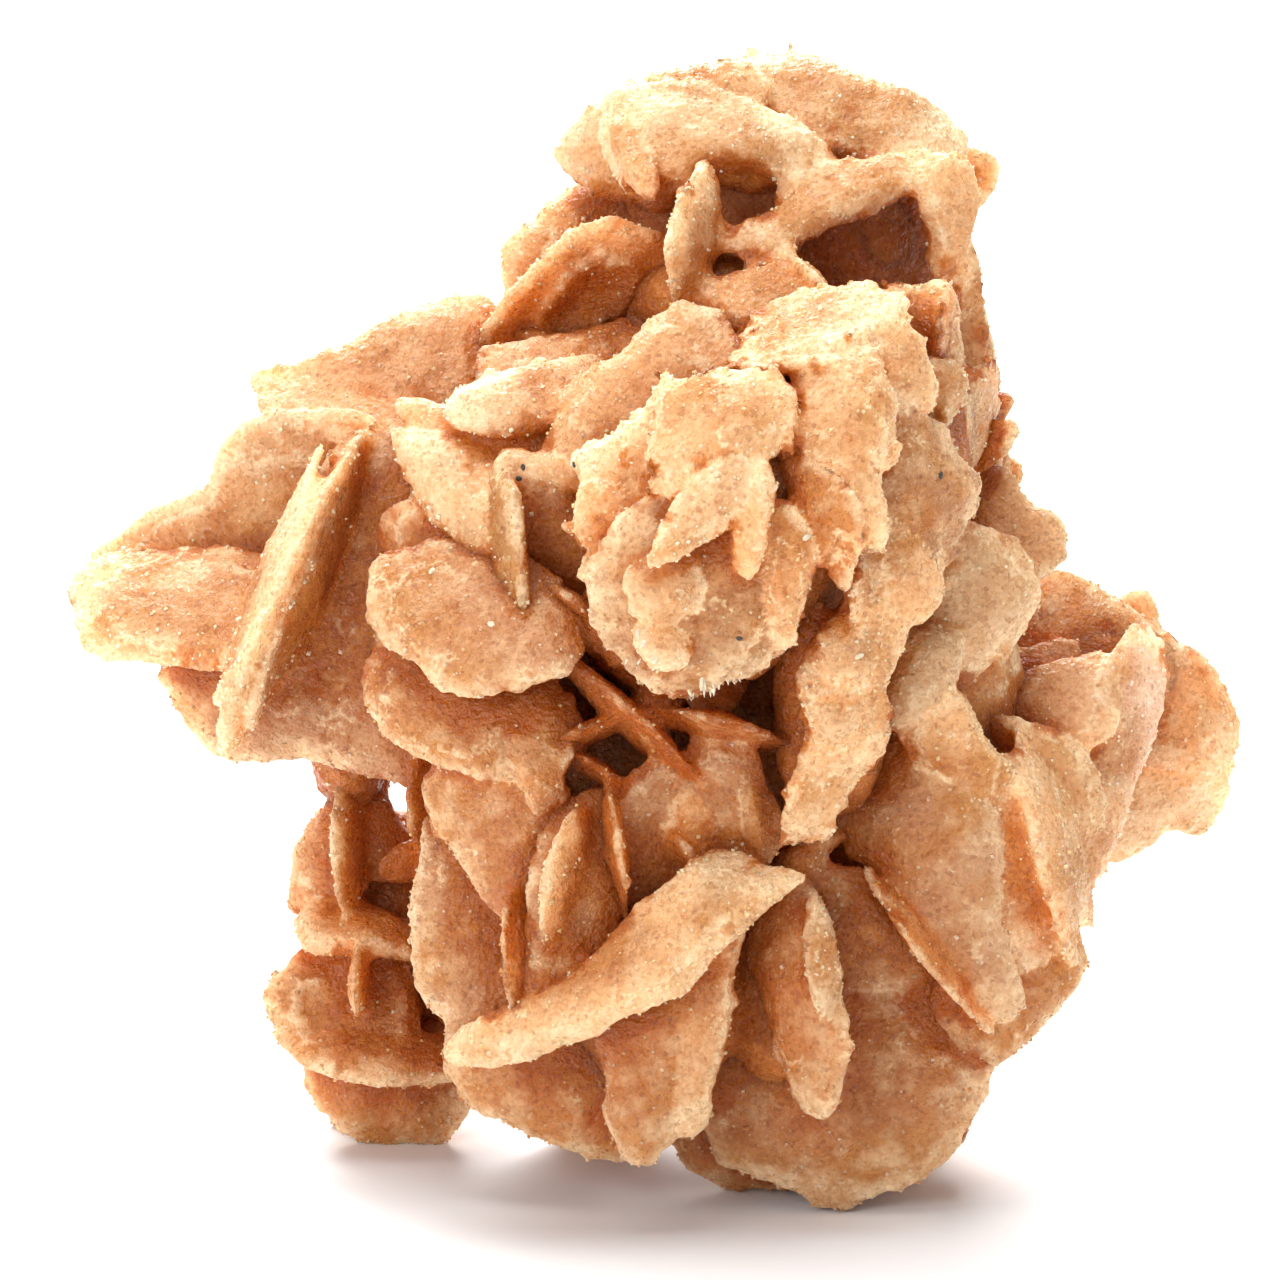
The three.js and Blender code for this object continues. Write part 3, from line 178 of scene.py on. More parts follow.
LATTICE = {
    "lattice_a": leaf([-3.9, 1.2, 9.6], [3.5, -2.7, 0.4], [0.5, 0.7, 4.6], 1.5, 1.3),
    "lattice_b": leaf([-0.2, -5.6, 10.2], [4.6, -4.3, 0.5], [0.5, 0.6, 4.4], 1.6, 1.3),
    "lattice_c": leaf([-3.2, -5.9, 9.6], [3, 1.2, 0], [-0.2, 0.5, 4], 1.2, 1.3),
    "lattice_d": leaf([-2.6, -8.3, 9.4], [2.6, -1.5, 0], [0.2, 0.5, 4], 1.2, 1.3),
    "lattice_e": leaf([4.8, -5.6, 10.8], [4.8, -1.1, 0.4], [0, 0.8, 4.5], 1.4, 1.3),
    "lattice_f": leaf([2.6, -3.7, 7.6], [3.8, 0.5, 0], [0, 0.6, 4.5], 1.3, 1.3),
    "lattice_g": leaf([-0.6, -2.3, 8.4], [3.4, -2.4, 0], [0.3, 0.5, 4], 1.3, 1.3),
    "knuckle": plate([
        (3.4, -6), (6.9, -6.3), (7.7, -8.4), (8.8, -10.6), (8.7, -13.6), (7.4, -14.4),
        (5.6, -13.4), (4.4, -11), (2.4, -8.4),
    ], 11.6, [0.2, 0.25], 2.4),
    "knuckle_lens": plate(
        [(6.4, -8.6), (7.4, -9.4), (7.9, -11.6), (7.8, -13.4), (6.8, -12.6), (6.3, -10.6)],
        12.8, [0.1, 0.1], 1.2,
    ),
    "thin_wall": plate([
        (0.3, -7.3), (-0.9, -8.7), (-1.8, -11), (-2.3, -13.8), (-1.8, -17.4), (1, -17),
        (4, -14.6), (5.2, -11.6), (4.4, -8.8), (2.2, -7.4),
    ], 10.8, [-0.25, 0.2], 1.8),
    "thin_wall_rib": leaf([-1.6, -12.6, 12.4], [-0.7, 4.6, 0.2], [0.3, 0, 2.6], 1.1, 1.3),
    "thin_rib": leaf([2.8, -13.3, 11.6], [1.6, -1.8, 0.4], [0.3, 0.3, 1.8], 0.9, 1.3),
    "side_flake": plate(
        [(3.6, -9.4), (4.9, -10.8), (4.8, -12.4), (4.1, -14), (2.6, -12.4), (2, -10.4)],
        11.6, [-0.2, 0.2], 1.4,
    ),
}

NOSE = {
    "nose_shield": plate([
        (-3.5, 4.4), (-2.9, 1.2), (-1.2, -1.3), (0.8, -2.9), (3.2, -3.9), (5.6, -2.9),
        (8.2, -1.3), (9.8, 1.5), (10.8, 5), (8.5, 8.5), (3, 9.5), (-1.5, 7.8),
    ], 19.5, [0.05, 0.18], 2.2),
    "nose_scale": plate(
        [(-0.5, 5), (2.8, 5.4), (4, 3.2), (2.7, 1), (0.5, 0.8), (-0.8, 2.6)],
        20.9, [0, 0.2], 1.4,
    ),
    "nose_chip": plate(
        [(-0.6, 0.7), (1.3, 1.2), (3, 0.2), (3.1, -1.2), (1.9, -1.9), (0.2, -1.4)],
        20.6, [0, -0.1], 1.4,
    ),
    "nose_bract_left": plate([
        (7.8, 12), (5, 11.4), (2.4, 9.2), (1, 7.2), (0.8, 5), (2.4, 5.3), (4.8, 6.5),
        (6.7, 8), (7.8, 10),
    ], 22.8, [-0.15, -0.25], 1.9),
    "nose_bract_mid": plate(
        [(7.6, 11), (6.2, 8.4), (5.7, 6), (6.2, 4.2), (7, 3.9), (7.9, 4.8), (8.2, 7)],
        22.3, [0.25, 0], 1.6,
    ),
    "nose_fold": plate([
        (7.8, 10.6), (9.4, 7.3), (11.4, 4.6), (12.9, 2.8), (14, 5), (13.6, 8.6), (11.4, 11),
        (9, 12),
    ], 20.6, [0.9, 0.35], 1.8),
    "nose_tongue": plate([
        (8.4, 9), (7.6, 5.6), (7.5, 2.2), (8.3, 0.8), (8.8, -0.6), (9.4, -0.4), (10.1, 1.6),
        (11, 4.4), (10.4, 7.4),
    ], 20.6, [0.1, 0.15], 1.4),
    "nose_cap_left": plate([
        (0.4, 8.8), (0.5, 12), (1.2, 15), (3.2, 16.6), (6.5, 16.8), (9.8, 15.6), (9.6, 12.6),
        (7.4, 11.5), (4.5, 10.6), (2.4, 8.8),
    ], 20.9, [0.2, -0.35], 2.6),
    "nose_cap_right": plate([
        (7.6, 12.2), (9.6, 10.8), (12.2, 8.4), (13.6, 5), (15, 5.2), (15.5, 10), (15.7, 15),
        (14.2, 17.8), (12, 18.4), (10, 17.2), (8.8, 14.8),
    ], 20, [0, -0.3], 2.8),
    "nose_flank": plate([
        (15, 15.8), (17.6, 14.2), (19.8, 11.5), (20.8, 9.6), (20.7, 7.8), (19.6, 5.6),
        (18.6, 3.6), (17.2, 0.8), (15, 1.5), (13.6, 5), (13.8, 11),
    ], 15.5, [-0.75, 0.05], 2.6),
    "nose_flank_step": plate(
        [(15.6, 8), (17.4, 6.4), (18.8, 4.6), (18.5, 2.2), (17, 0.8), (15.6, 0.4), (14.6, 3.4)],
        16.4, [-0.6, 0.1], 1.8,
    ),
    "nose_keel": plate([
        (13.8, 6), (12.6, 2.6), (11, 0.5), (10, -2.5), (10.3, -5.5), (9.5, -8.5), (9, -12.8),
        (11, -12.4), (13.2, -9.9), (15, -7.6), (15.7, -5.5), (15.4, -2.6), (16.8, 0.6),
        (16.4, 4.6),
    ], 15.6, [-0.25, 0.22], 3),
    "nose_keel_side": plate([
        (10.4, 5.5), (11.6, 2), (11, -2), (10.4, -7), (9.4, -9.5), (8.4, -6.5), (8.6, -2),
        (8.8, 2.5),
    ], 12.8, [1.6, 0.2], 1.8),
    "nose_knob_upper": plate([
        (11.3, 0.9), (13.2, 1.5), (14.7, 0.2), (14.8, -1.8), (13.6, -2.9), (12, -2.4),
        (10.9, -0.8),
    ], 17.2, [-0.1, 0.1], 1.8),
    "nose_knob_lower": plate([
        (10.9, -3), (13.2, -2.6), (14.6, -3.6), (14, -5.8), (12.4, -7.1), (10.9, -6.6),
        (10.4, -4.8),
    ], 16.6, [-0.1, 0.1], 1.8),
    "nose_spur": leaf([13.7, 3.2, 17.8], [0.35, 2, 0], [0.5, 0, -1.5], 0.9, 1.4),
    "nose_left_stack": plate([
        (-4, 11.2), (-1.8, 12.6), (0.2, 14.8), (1.6, 17), (3, 14), (2.4, 8), (1.2, 3.6),
        (-0.8, 3.2), (-1.8, 5.2), (-3.9, 7), (-3.5, 9.4),
    ], 17.6, [0.65, -0.05], 2.6),
    "nose_left_lobe": plate(
        [(-4.1, 7.4), (-3.2, 5.6), (-1.8, 5.2), (-0.6, 7), (-1, 9.6), (-3, 9.8)],
        18.3, [0.4, 0], 1.5,
    ),
    "nose_prong": plate(
        [(-3.8, 4.1), (-3.4, 5.2), (-2, 5.8), (0, 5.2), (0.6, 3.4), (-1.6, 3.4)],
        18.8, [0.3, -0.5], 1.2,
    ),
    "nose_lip_top": leaf([11.4, 19.9, 14.4], [4.9, 1.1, -0.4], [-0.2, 1.6, -4], 2.4, 1.15),
    "nose_lip_top_back": plate([
        (6.8, 19.4), (7.4, 20.6), (9.4, 21.6), (12.3, 21.9), (14.6, 22.3), (16.4, 20.4),
        (17.4, 18), (15, 15), (9, 15.5), (6.4, 17.4),
    ], 12.6, [0, -0.4], 2.4),
    "nose_lip_low": leaf([10.2, 17.9, 16.2], [4.7, 0.5, 0.2], [0, 0.9, -3.6], 1.8, 1.2),
    "nose_lip_right": plate([
        (14, 18.4), (15.8, 20.4), (17.4, 18.4), (18.2, 15.4), (17.6, 14.2), (16.2, 14.6),
        (14.6, 16),
    ], 16, [-0.5, -0.3], 2),
    "nose_chip_right": plate(
        [(17.4, 17.4), (19, 17.5), (20.1, 16.6), (19.8, 14.6), (18.6, 12.8), (16.8, 14)],
        10.6, [-0.3, 0], 2.4,
    ),
}

CROWN = {
    "crown_top": plate([
        (2, 35.2), (5, 36.1), (8, 36.7), (10.2, 36.4), (12.4, 35.2), (15, 34.3),
        (18.6, 33.3), (20, 32), (20.4, 29.4), (17, 28.6), (11, 29.6), (5, 32.6),
    ], -5, [0, -0.85], 4.6, 0.6),
    "crown_dome": plate([
        (-2.1, 34.5), (1.5, 34.9), (5, 34.4), (9, 32.4), (12, 30.4), (10, 28.6), (6, 29),
        (3, 28), (1.8, 26.8), (0.3, 27), (-1.2, 28.6), (-2.5, 31.2),
    ], 0, [0.05, -0.4], 3.6, 1),
    "crown_ear": plate(
        [(-2.2, 34.2), (-4.4, 32), (-5.4, 30.3), (-4.2, 28.6), (-2, 27.6), (3, 28.6), (3, 32.4)],
        -2.5, [0.3, -0.1], 3.2,
    ),
    "crown_saddle": plate(
        [(-1, 34.4), (2, 35.3), (6, 35.6), (8.6, 34.2), (7, 31.5), (1, 31.5)],
        -2.4, [0, -0.6], 4.4,
    ),
    "crown_brow": leaf([-0.4, 30.3, 2.2], [-0.9, 3.4, -2.4], [1.4, -0.8, 1.6], 2.4, 1.2),
    "crown_spike": leaf([3.4, 25, 5.8], [0.7, 5.2, -0.6], [1.5, 0, -4.4], 2.2, 2),
    "crown_arm": plate([
        (5.4, 25.6), (7.6, 26.4), (9.4, 28.8), (12, 29.9), (15, 30.3), (18.4, 30.4),
        (18.4, 28.9), (15.4, 27.7), (12.5, 26.3), (10.5, 25), (8.4, 24), (6.4, 23.6),
    ], 2.5, [0, -0.7], 2.4),
    "crown_bar": plate([
        (3.6, 21.3), (6, 22.7), (8, 23.4), (9.5, 24.6), (10.6, 23.4), (12, 21.4), (9, 19.8),
        (5, 19.6),
    ], 6.5, [0.1, -0.9], 2),
    "crown_web": leaf([10.6, 22.6, 4.6], [1.6, -1.9, 0.2], [-0.4, 0.4, -4], 1.2, 1.3),
    "crown_recess_wall": plate(
        [(4.6, 30.6), (8.8, 29.6), (9.4, 26.8), (8, 24), (5, 23), (3, 26)],
        -2, [0.3, 0.3], 2.2,
    ),
    "crown_cave_wall": plate(
        [(9.6, 20), (10, 25.6), (14.8, 28.8), (18.8, 28.8), (19.4, 21), (15, 18)],
        -3.2, [-0.55, 0.25], 3,
    ),
    "crown_cave_floor": plate(
        [(9.4, 21.6), (12, 21.7), (15, 21.4), (17, 20.4), (15, 18.4), (11, 18.6)],
        3.5, [0.1, -0.9], 2,
    ),
    "crown_pillar": plate([
        (18.2, 30.4), (17.4, 27.8), (18.2, 25), (18.4, 22.4), (19.8, 20.8), (20.4, 25),
        (21, 27.6), (20.4, 30.2),
    ], 1, [-0.9, 0], 2.4),
    "crown_gate": plate([
        (15.2, 22.5), (17.2, 22.4), (19.4, 22.7), (19.9, 20), (19.9, 17.2), (18.6, 16),
        (16.8, 16.8), (15.4, 19.4),
    ], 8.4, [-0.3, 0.1], 2.2),
    "crown_gate_rib": leaf([19, 19.9, 9.4], [0.4, 2.8, 0], [0.4, 0, -2.4], 1.3, 1.3),
    "right_ridge_far": plate([
        (20.4, 26), (21, 22), (22, 18.8), (22.3, 16.6), (22, 13), (23.2, 10.4), (21.5, 7),
        (19, 10), (18.8, 17), (19, 23),
    ], -2.5, [-0.7, 0.1], 3),
    "right_ridge_strip": leaf([20.6, 13.2, 5.2], [1.7, 4.4, -1], [1.2, -0.6, -3.4], 1.8, 1.3),
}

RIGHT_SIDE = {
    "ledge_far": plate([
        (20.4, 12.4), (22.2, 11.6), (24.4, 8.5), (26.2, 7.6), (26.7, 6), (25.8, 4.4),
        (23, 3), (20, 5),
    ], 3, [-0.1, -0.3], 2.4),
    "gray_plate": plate([
        (17.6, 8), (20.6, 7.2), (22.8, 6.8), (24.7, 4.6), (24.7, 2.6), (23.2, -0.4),
        (21.8, -1.9), (20.2, -2.7), (18.4, -1), (17, 3),
    ], 9, [-0.35, 0.1], 2.6),
    "tooth": plate([
        (16.4, 1.2), (18.2, 1.2), (20.1, 0), (19.8, -1.8), (18.8, -3.6), (17.4, -4.9),
        (15.6, -5.3), (14.6, -2),
    ], 11.4, [-0.35, 0.1], 2.8),
    "right_step": plate([
        (19.6, -3.1), (20.9, -4.5), (21.9, -6.4), (23.3, -8.3), (22.9, -10), (21.8, -11.9),
        (20.4, -11), (18.6, -9), (16.4, -7), (16, -4.6),
    ], 10, [-0.1, 0.3], 2.2),
    "right_face": plate([
        (16, -4.8), (14.8, -8), (12.6, -10.3), (12.8, -12.6), (15.4, -16.2), (18, -19.6),
        (20.5, -23), (23.4, -23.6), (23, -18), (22.4, -12), (21, -8), (18.6, -5),
    ], 9, [0.15, 0.05], 2.8),
    "right_fold": plate([
        (21, -8.4), (20.2, -12), (21, -17), (22, -21), (25, -20.6), (26, -15.6),
        (25.4, -10.4), (24, -6.6),
    ], 8.2, [-0.35, 0], 2.6),
    "right_rib": leaf([25.4, -12.6, 6.4], [1.8, -7.6, 0.4], [1, 0.2, -4], 2.4, 1.2),
    "right_rib_outer": leaf([26.8, -12.4, 3.4], [1.2, -5.4, 0.2], [0.8, 0.2, -4], 2, 1.3),
    "right_tail": plate([
        (20.6, -20), (24, -19), (26.6, -17.6), (28, -19.2), (27.3, -21.6), (25.6, -23.8),
        (23.8, -25.4), (22, -26.8), (19.6, -25), (18.6, -21.6),
    ], 7, [-0.25, -0.15], 2.8),
    "right_diagonal": leaf([18.2, -19.6, 10.4], [3.9, -5, -0.4], [0.6, 0.4, -2], 1.5, 1.3),
    "right_wing": plate([
        (25.4, 4.7), (28.6, 3.2), (31.8, 1.3), (34.5, -0.7), (36.5, -2.6), (37.3, -4.8),
        (36.8, -8), (33, -8), (27, -6), (22.6, -3), (22.8, 2),
    ], -5, [-0.2, -0.25], 2.8),
    "right_wing_low": plate([
        (37.2, -5), (36.9, -8), (36.3, -10.7), (35.1, -12), (33.2, -11.9), (31.8, -12.9),
        (29.6, -13.7), (27, -11), (28, -5), (33, -3),
    ], -6.5, [-0.3, 0.35], 2.4),
    "right_fin": plate([
        (31.4, 1.5), (32.7, -0.6), (32.9, -3), (32.3, -5.8), (31.2, -8.4), (30.3, -11.2),
        (28.6, -15), (27.4, -12), (27.8, -7), (28.8, -2),
    ], 0, [-0.9, 0.1], 2.4),
    "right_fin_foot": plate([
        (28.6, -7), (30.4, -9), (30, -12.4), (28.4, -15.2), (27.6, -17), (26.4, -13),
        (26.4, -8.6),
    ], 2, [-0.7, 0], 2),
    "right_inner_upper": plate(
        [(22.2, -4.4), (24, -2.1), (26.2, -1.2), (29, -0.9), (30, -3.4), (28.4, -6.8), (25, -6.4)],
        1.5, [0.1, -0.5], 2,
    ),
    "right_inner_lower": plate(
        [(22.4, -4.8), (25, -5.2), (28, -6.6), (28.8, -9), (28.6, -13), (26, -13), (23.6, -9)],
        4, [-0.2, 0.2], 2,
    ),
    "right_inner_wall": plate(
        [(19, -1), (23, -0.5), (27, 0), (28, -6), (24, -9), (19, -6)],
        -2, [0.1, 0], 3,
    ),
}

SKIRT = {
    "arrow": plate([
        (-12.2, -26.2), (-9.4, -26.7), (-6, -25.9), (-2.8, -24.7), (0, -23.4), (2.6, -22),
        (4.6, -20), (7.8, -16.7), (10.2, -14.8), (7.8, -13.8), (4.8, -13.3), (1.4, -15.6),
        (-2, -18.6), (-5, -21.8), (-8, -24.4), (-11, -24.2),
    ], 14.6, [0.42, -0.45], 2.6),
    "arrow_back": plate([
        (-7.4, -24.2), (-7.3, -20), (-7, -15), (-6.3, -12.2), (-5, -10.8), (-3.2, -9),
        (-1.4, -9.8), (-1.4, -13), (-1, -17.4), (-3.4, -20.6), (-5.5, -23),
    ], 12.2, [-0.2, -0.05], 2.2),
    "arrow_ridge": leaf([-4.6, -14.6, 13.8], [1.2, 4.8, -0.4], [1.2, -0.2, -2.2], 1.6, 1.3),
    "belly": plate([
        (-12.3, -26.4), (-11.3, -28.4), (-10.3, -29.4), (-7, -30.7), (-5, -31.4),
        (-1, -32.5), (2, -29), (1, -23), (-5, -22.4), (-9.5, -24),
    ], 6, [0.05, 0.25], 3),
    "fang": plate([
        (-2.6, -22.5), (-2.3, -28), (-1.9, -31.2), (-1, -32.8), (0.3, -33), (1.4, -31.8),
        (2.8, -28), (3.4, -22), (1, -20),
    ], 11.6, [0.25, 0.1], 2.8),
    "fang_rim": plate([
        (0.8, -22), (1.2, -28), (2, -30.7), (2.9, -31.1), (4.2, -30.1), (4.6, -28),
        (5.2, -26), (5.7, -23.5), (5.9, -21), (6.4, -17.6), (3.6, -18.6),
    ], 12.8, [0.3, 0.15], 2),
    "leaf_right": plate([
        (10.4, -14.8), (11.4, -16.4), (12.1, -18.6), (12.5, -21), (12.9, -23.6), (13.1, -26),
        (12.6, -28.2), (11.4, -29.8), (10.5, -29.4), (9, -27), (7.8, -24), (6.6, -20.6),
        (6.6, -17.6), (8.4, -15.6),
    ], 12.4, [0.55, 0.05], 2.6),
    "leaf_right_wing": plate(
        [(10.8, -15.4), (12, -18.6), (12.6, -22.6), (12.2, -24.4), (10.8, -22.4), (10.2, -18.6)],
        14.2, [-0.6, 0], 1.5,
    ),
    "skirt": plate([
        (11, -17), (16, -19), (19.4, -22.4), (21.8, -25.2), (21.9, -27.6), (21, -29.6),
        (20.1, -31.3), (18.2, -33.3), (15.5, -34.7), (13, -35.6), (9.5, -34.7), (7, -33.5),
        (4.9, -32.6), (4.3, -31), (3.2, -29.5), (3.2, -26), (4.5, -21),
    ], 6, [0.05, 0.1], 3.4),
    "skirt_under": plate([
        (1.6, -30), (2.2, -32.4), (4.5, -33.9), (7, -34.7), (9.6, -35.5), (13, -34.6),
        (12, -30), (6, -28),
    ], 1, [0, 0.2], 3),
    "dusk_plate": plate([
        (10, -14.6), (12, -13.9), (13.8, -14.4), (15.8, -16.4), (17.6, -18.8), (18.9, -21.6),
        (16, -22.6), (12, -21.6), (10.6, -18),
    ], 8.4, [0.05, 0.3], 2.4),
    "gap_leaf": plate([
        (8.4, -14.2), (10.3, -12.4), (12, -11.7), (12.8, -12.1), (11.8, -13.3),
        (10.4, -14.8), (9, -15),
    ], 9.4, [0.1, -0.4], 2.2),
}

LEFT_LOBE = {
    "lobe_crest": plate([
        (-18, -8.4), (-19.8, -10.3), (-21.3, -12.2), (-21.7, -14.5), (-21.5, -17),
        (-18.5, -17.6), (-17, -13),
    ], -6.5, [0.5, 0], 2.2),
    "lobe_spine": leaf([-18.1, -12.7, -4.4], [-0.1, 5, 0.3], [0.95, 0, -3], 1.5, 1.2),
    "lobe_crest_right": plate([
        (-17.6, -8.6), (-16.2, -9.3), (-15.4, -10.8), (-14.6, -12), (-13, -12.6),
        (-13.6, -14.4), (-16.5, -15), (-17.8, -12),
    ], -6.5, [-0.5, -0.1], 2),
    "lobe_shelf": plate([
        (-21.8, -17.2), (-20.2, -16.3), (-18, -16.3), (-15.5, -17.2), (-14, -18),
        (-12.3, -18.9), (-13.2, -19.8), (-15.8, -19.8), (-18.5, -19.4), (-21, -19.3),
    ], -4.5, [0, -1.1], 2.4),
    "lobe_face": plate([
        (-21.6, -19.5), (-23.6, -22.8), (-22.5, -24.7), (-19.5, -25.7), (-16, -25.8),
        (-14.2, -24.6), (-13.6, -22), (-14.6, -18.4), (-18, -17.6),
    ], -5.5, [0.05, -0.1], 2.8, -0.8),
    "lobe_nib": leaf([-17.6, -21.2, -2.6], [0.1, 2.3, 0], [0.2, 0, -2.4], 1.3, 1.2),
    "lobe_lip": plate([
        (-23, -24.6), (-21.6, -26.2), (-19, -27.1), (-16, -27.7), (-13, -27.6), (-10.5, -27),
        (-11, -25), (-15, -24.8), (-19, -24.4),
    ], -4.5, [0, -1.1], 2.2),
    "lobe_foot": plate([
        (-21.2, -26), (-20.9, -28.5), (-19.2, -30.3), (-17.5, -31.4), (-15.5, -31.7),
        (-13, -31.3), (-11.2, -30.5), (-10, -28.8), (-10, -25), (-16, -23.6),
    ], -8.5, [0.05, 0.2], 3),
    "lobe_wall": plate(
        [(-18.5, -13), (-15, -13.6), (-12, -13.4), (-10, -18), (-11, -25), (-17, -24), (-19, -18)],
        -11, [0.2, 0], 3,
    ),
    "lobe_bridge": plate(
        [(-19.5, -6.4), (-16.4, -6), (-15.4, -9), (-16, -14), (-18.6, -14), (-19.4, -10)],
        -9, [0, 0.1], 2.6,
    ),
}

REAR_FEET = {
    "rear_foot_right": leaf([10, -23, -13], [1.5, -8, -1], [6, 0, -3], 3.4, 1.1),
    "rear_foot_left": leaf([-4, -24, -9], [-0.5, -6.8, -1.5], [5, 0, -4], 3.6, 1.1),
}


# Each group is one skin: its crystals, its triangles, its voxel and how far clefts are filled, both
# in millimetres, and how rough it is if that isn't 1.
GROUPS = (
    ("left_wing", LEFT_WING, 65_000, 0.22, 0.2),
    ("upper_left", UPPER_LEFT, 70_000, 0.2, 0.18),
    ("left_petals", LEFT_PETALS, 65_000, 0.2, 0.18),
    ("lattice", LATTICE, 52_000, 0.2, 0.15),
    ("nose", NOSE, 170_000, 0.18, 0.2, 1.5),
    ("crown", CROWN, 80_000, 0.22, 0.5, 1.2),
    ("right_side", RIGHT_SIDE, 75_000, 0.22, 0.22),
    ("skirt", SKIRT, 105_000, 0.2, 0.18),
    ("left_lobe", LEFT_LOBE, 38_000, 0.22, 0.2),
)
REAR = (150_000, 0.26, 0.12, 1.2)

# The colour of most of the crystals, the tints of the others, and the share of its tint in the
# colour of such a crystal. Some tints hold painted shade: darker on the lower crystals and on those
# in recesses and undersides, which the light from above and behind reaches less. The palest holds
# painted light in part.
PEACH = "#EEC08C"
TINT_SHARE = 0.8
TINTS_WITH_PAINTED_SHADE_AND_LIGHT = {
    "#C0926C": (
        "petal_main",
        "mauve_plate", "dusk_plate", "right_face", "left_apron", "knuckle", "lobe_wall",
        "nose_flank", "arrow_back", "thin_wall", "dark_flake",
    ),
    "#EBC096": (
        "right_fin_foot", "right_ridge_strip", "shoulder_left", "right_inner_upper",
        "right_fold", "upper_left_step",
    ),
    "#F8CE9C": (
        "arrow", "nose_cap_left", "nose_cap_right", "left_fin", "nose_keel", "nose_bract_mid",
    ),
    "#B08C58": ("glassy_leaf",),
    "#B4875A": ("nose_shield",),
    "#F8DCC8": ("right_fin",),
    "#ECA466": ("right_wing",),
    # Painted shade: the skirt is darkened because the light from above and behind barely reaches its
    # low front.
    "#B26E30": ("skirt", "skirt_under"),
    "#E2C49C": (
        "gray_plate", "tooth", "nose_knob_upper", "nose_knob_lower",
        "knuckle_lens", "leaf_right_wing", "nose_scale",
    ),
    # Painted shade: crystals in recesses and on undersides, darkened where shadow falls.
    "#C67A2C": (
        "nose_fold", "sail_edge", "crown_recess_wall", "crown_cave_floor", "right_inner_wall",
        "right_diagonal", "nose_keel_side", "lattice_f", "lattice_e", "far_wedge", "lobe_foot",
        "crown_cave_wall",
    ),
    # Painted shade: the lower crystals, darkened because the light comes from above and behind.
    "#C47E38": (
        "belly", "fang", "leaf_right", "petal_keel", "sail",
        "right_tail", "lobe_face", "lobe_crest", "lobe_crest_right", "petal_low", "lobe_bridge",
        "lattice_a", "lattice_b", "lattice_c", "lattice_d", "lattice_g", "lobe_lip",
    ),
    # Partly painted light: the crystals' own paler colour, made paler still on tops and edges that
    # face the light.
    "#F8E0BA": (
        "brow", "petal_white_rim", "rim_flake", "crown_spike", "left_fin_rim", "left_fin_lip",
        "nose_left_stack", "nose_lip_top", "nose_lip_low", "nose_bract_left", "nose_prong",
        "nose_spur", "nose_chip", "right_wing_low", "nose_chip_right", "crown_top", "crown_dome",
        "crown_ear", "left_fan", "left_shelf", "lobe_spine",
    ),
}
# The crystals whose faces are covered with flakes.
CRUMBLY = (
    "nose_left_stack", "nose_left_lobe", "nose_lip_top", "nose_lip_low", "nose_lip_right",
    "nose_cap_left", "nose_cap_right", "nose_lip_top_back", "nose_knob_upper", "nose_knob_lower",
    "nose_keel", "rim_flake", "nose_prong",
)

# The side that is turned away: rosettes of crystals that open about an axis like petals.
ROSETTES = (
    {"at": [4, 3, -5], "faces": [0.1, 0.1, -1], "count": 14, "length": 27},
    {"at": [9, 25, -7], "faces": [0.1, 0.2, -1], "count": 6, "length": 14},
    {"at": [-19, 4, -4], "faces": [-0.3, 0.1, -0.9], "count": 5, "length": 13},
    {"at": [26.5, -4.5, -7], "faces": [0.2, 0, -0.95], "count": 5, "length": 11.5},
    {"at": [-16, -20, -12], "faces": [-0.2, -0.1, -0.95], "count": 4, "length": 10.5},
    {"at": [10, -19, -3], "faces": [0.2, -0.2, -0.95], "count": 6, "length": 18},
)
WIDEST_OPENING = math.radians(72)
GOLDEN_ANGLE = math.pi * (3 - math.sqrt(5))

# The heart, where the crystals have grown together: middle and half sizes.
HEART = (
    ([5, 2, -2], [14, 20, 9]),
    ([6, 8, 11], [8, 9, 10]),
    ([12.5, -3, 7], [3.4, 8, 7]),
    ([15, 12, 5], [5.5, 9, 8]),
    ([19.5, 9.5, -2], [3.4, 8, 5]),
    ([-8, 1, 1.5], [8.5, 9.5, 8]),
    ([-2.5, 12.5, -0.5], [7, 7, 6]),
    ([5, 21, -1], [6, 4, 6]),
    ([9, 26, -6.5], [10.5, 8, 6.5]),
    ([15, -3, 1], [8.5, 12, 7]),
    ([27, -3, -7], [8.5, 5, 4.5]),
    ([1, -21, 4], [6, 8, 9]),
    ([8.5, -20, 5], [4, 8, 7]),
    ([13, -22, -1], [8.5, 10.5, 6.5]),
    ([-8, -16, -3], [5.5, 10.5, 7]),
    ([-18, -5.5, -6], [2.6, 5.2, 5]),
    ([-16, -20, -11.5], [5, 10, 5]),
    ([-20, 6, -6.5], [8, 5.5, 3]),
)

# The small crystals on the heart, in millimetres. They lie flat past a share of the way to the
# front and above a height. There are none further forward still, under the floor or lying flat on
# a slim lump, and they are smaller on a lump that is slimmer than the full one.
COAT_SPACING = 13  # square millimetres for each crystal
FLAT_COAT_AHEAD = -0.15
FLAT_COAT_HEIGHT = 30.5
LAST_COAT_AHEAD = 0.3
LEAST_FLAT_COATED = 5.2
FULL_COAT_LUMP = 8.5
LOWEST_COAT = 0.005

# The sheets and flakes on a crystal: how far it has to reach to have a sheet, the area of face for
# each flake, and how deep a flake is sunk in the face, in millimetres.
LEAST_SHEETED = 3
FLAKE_SPACING = 12
CRUMBLY_SPACING = 1.8
FLAKE_SINK = 0.12

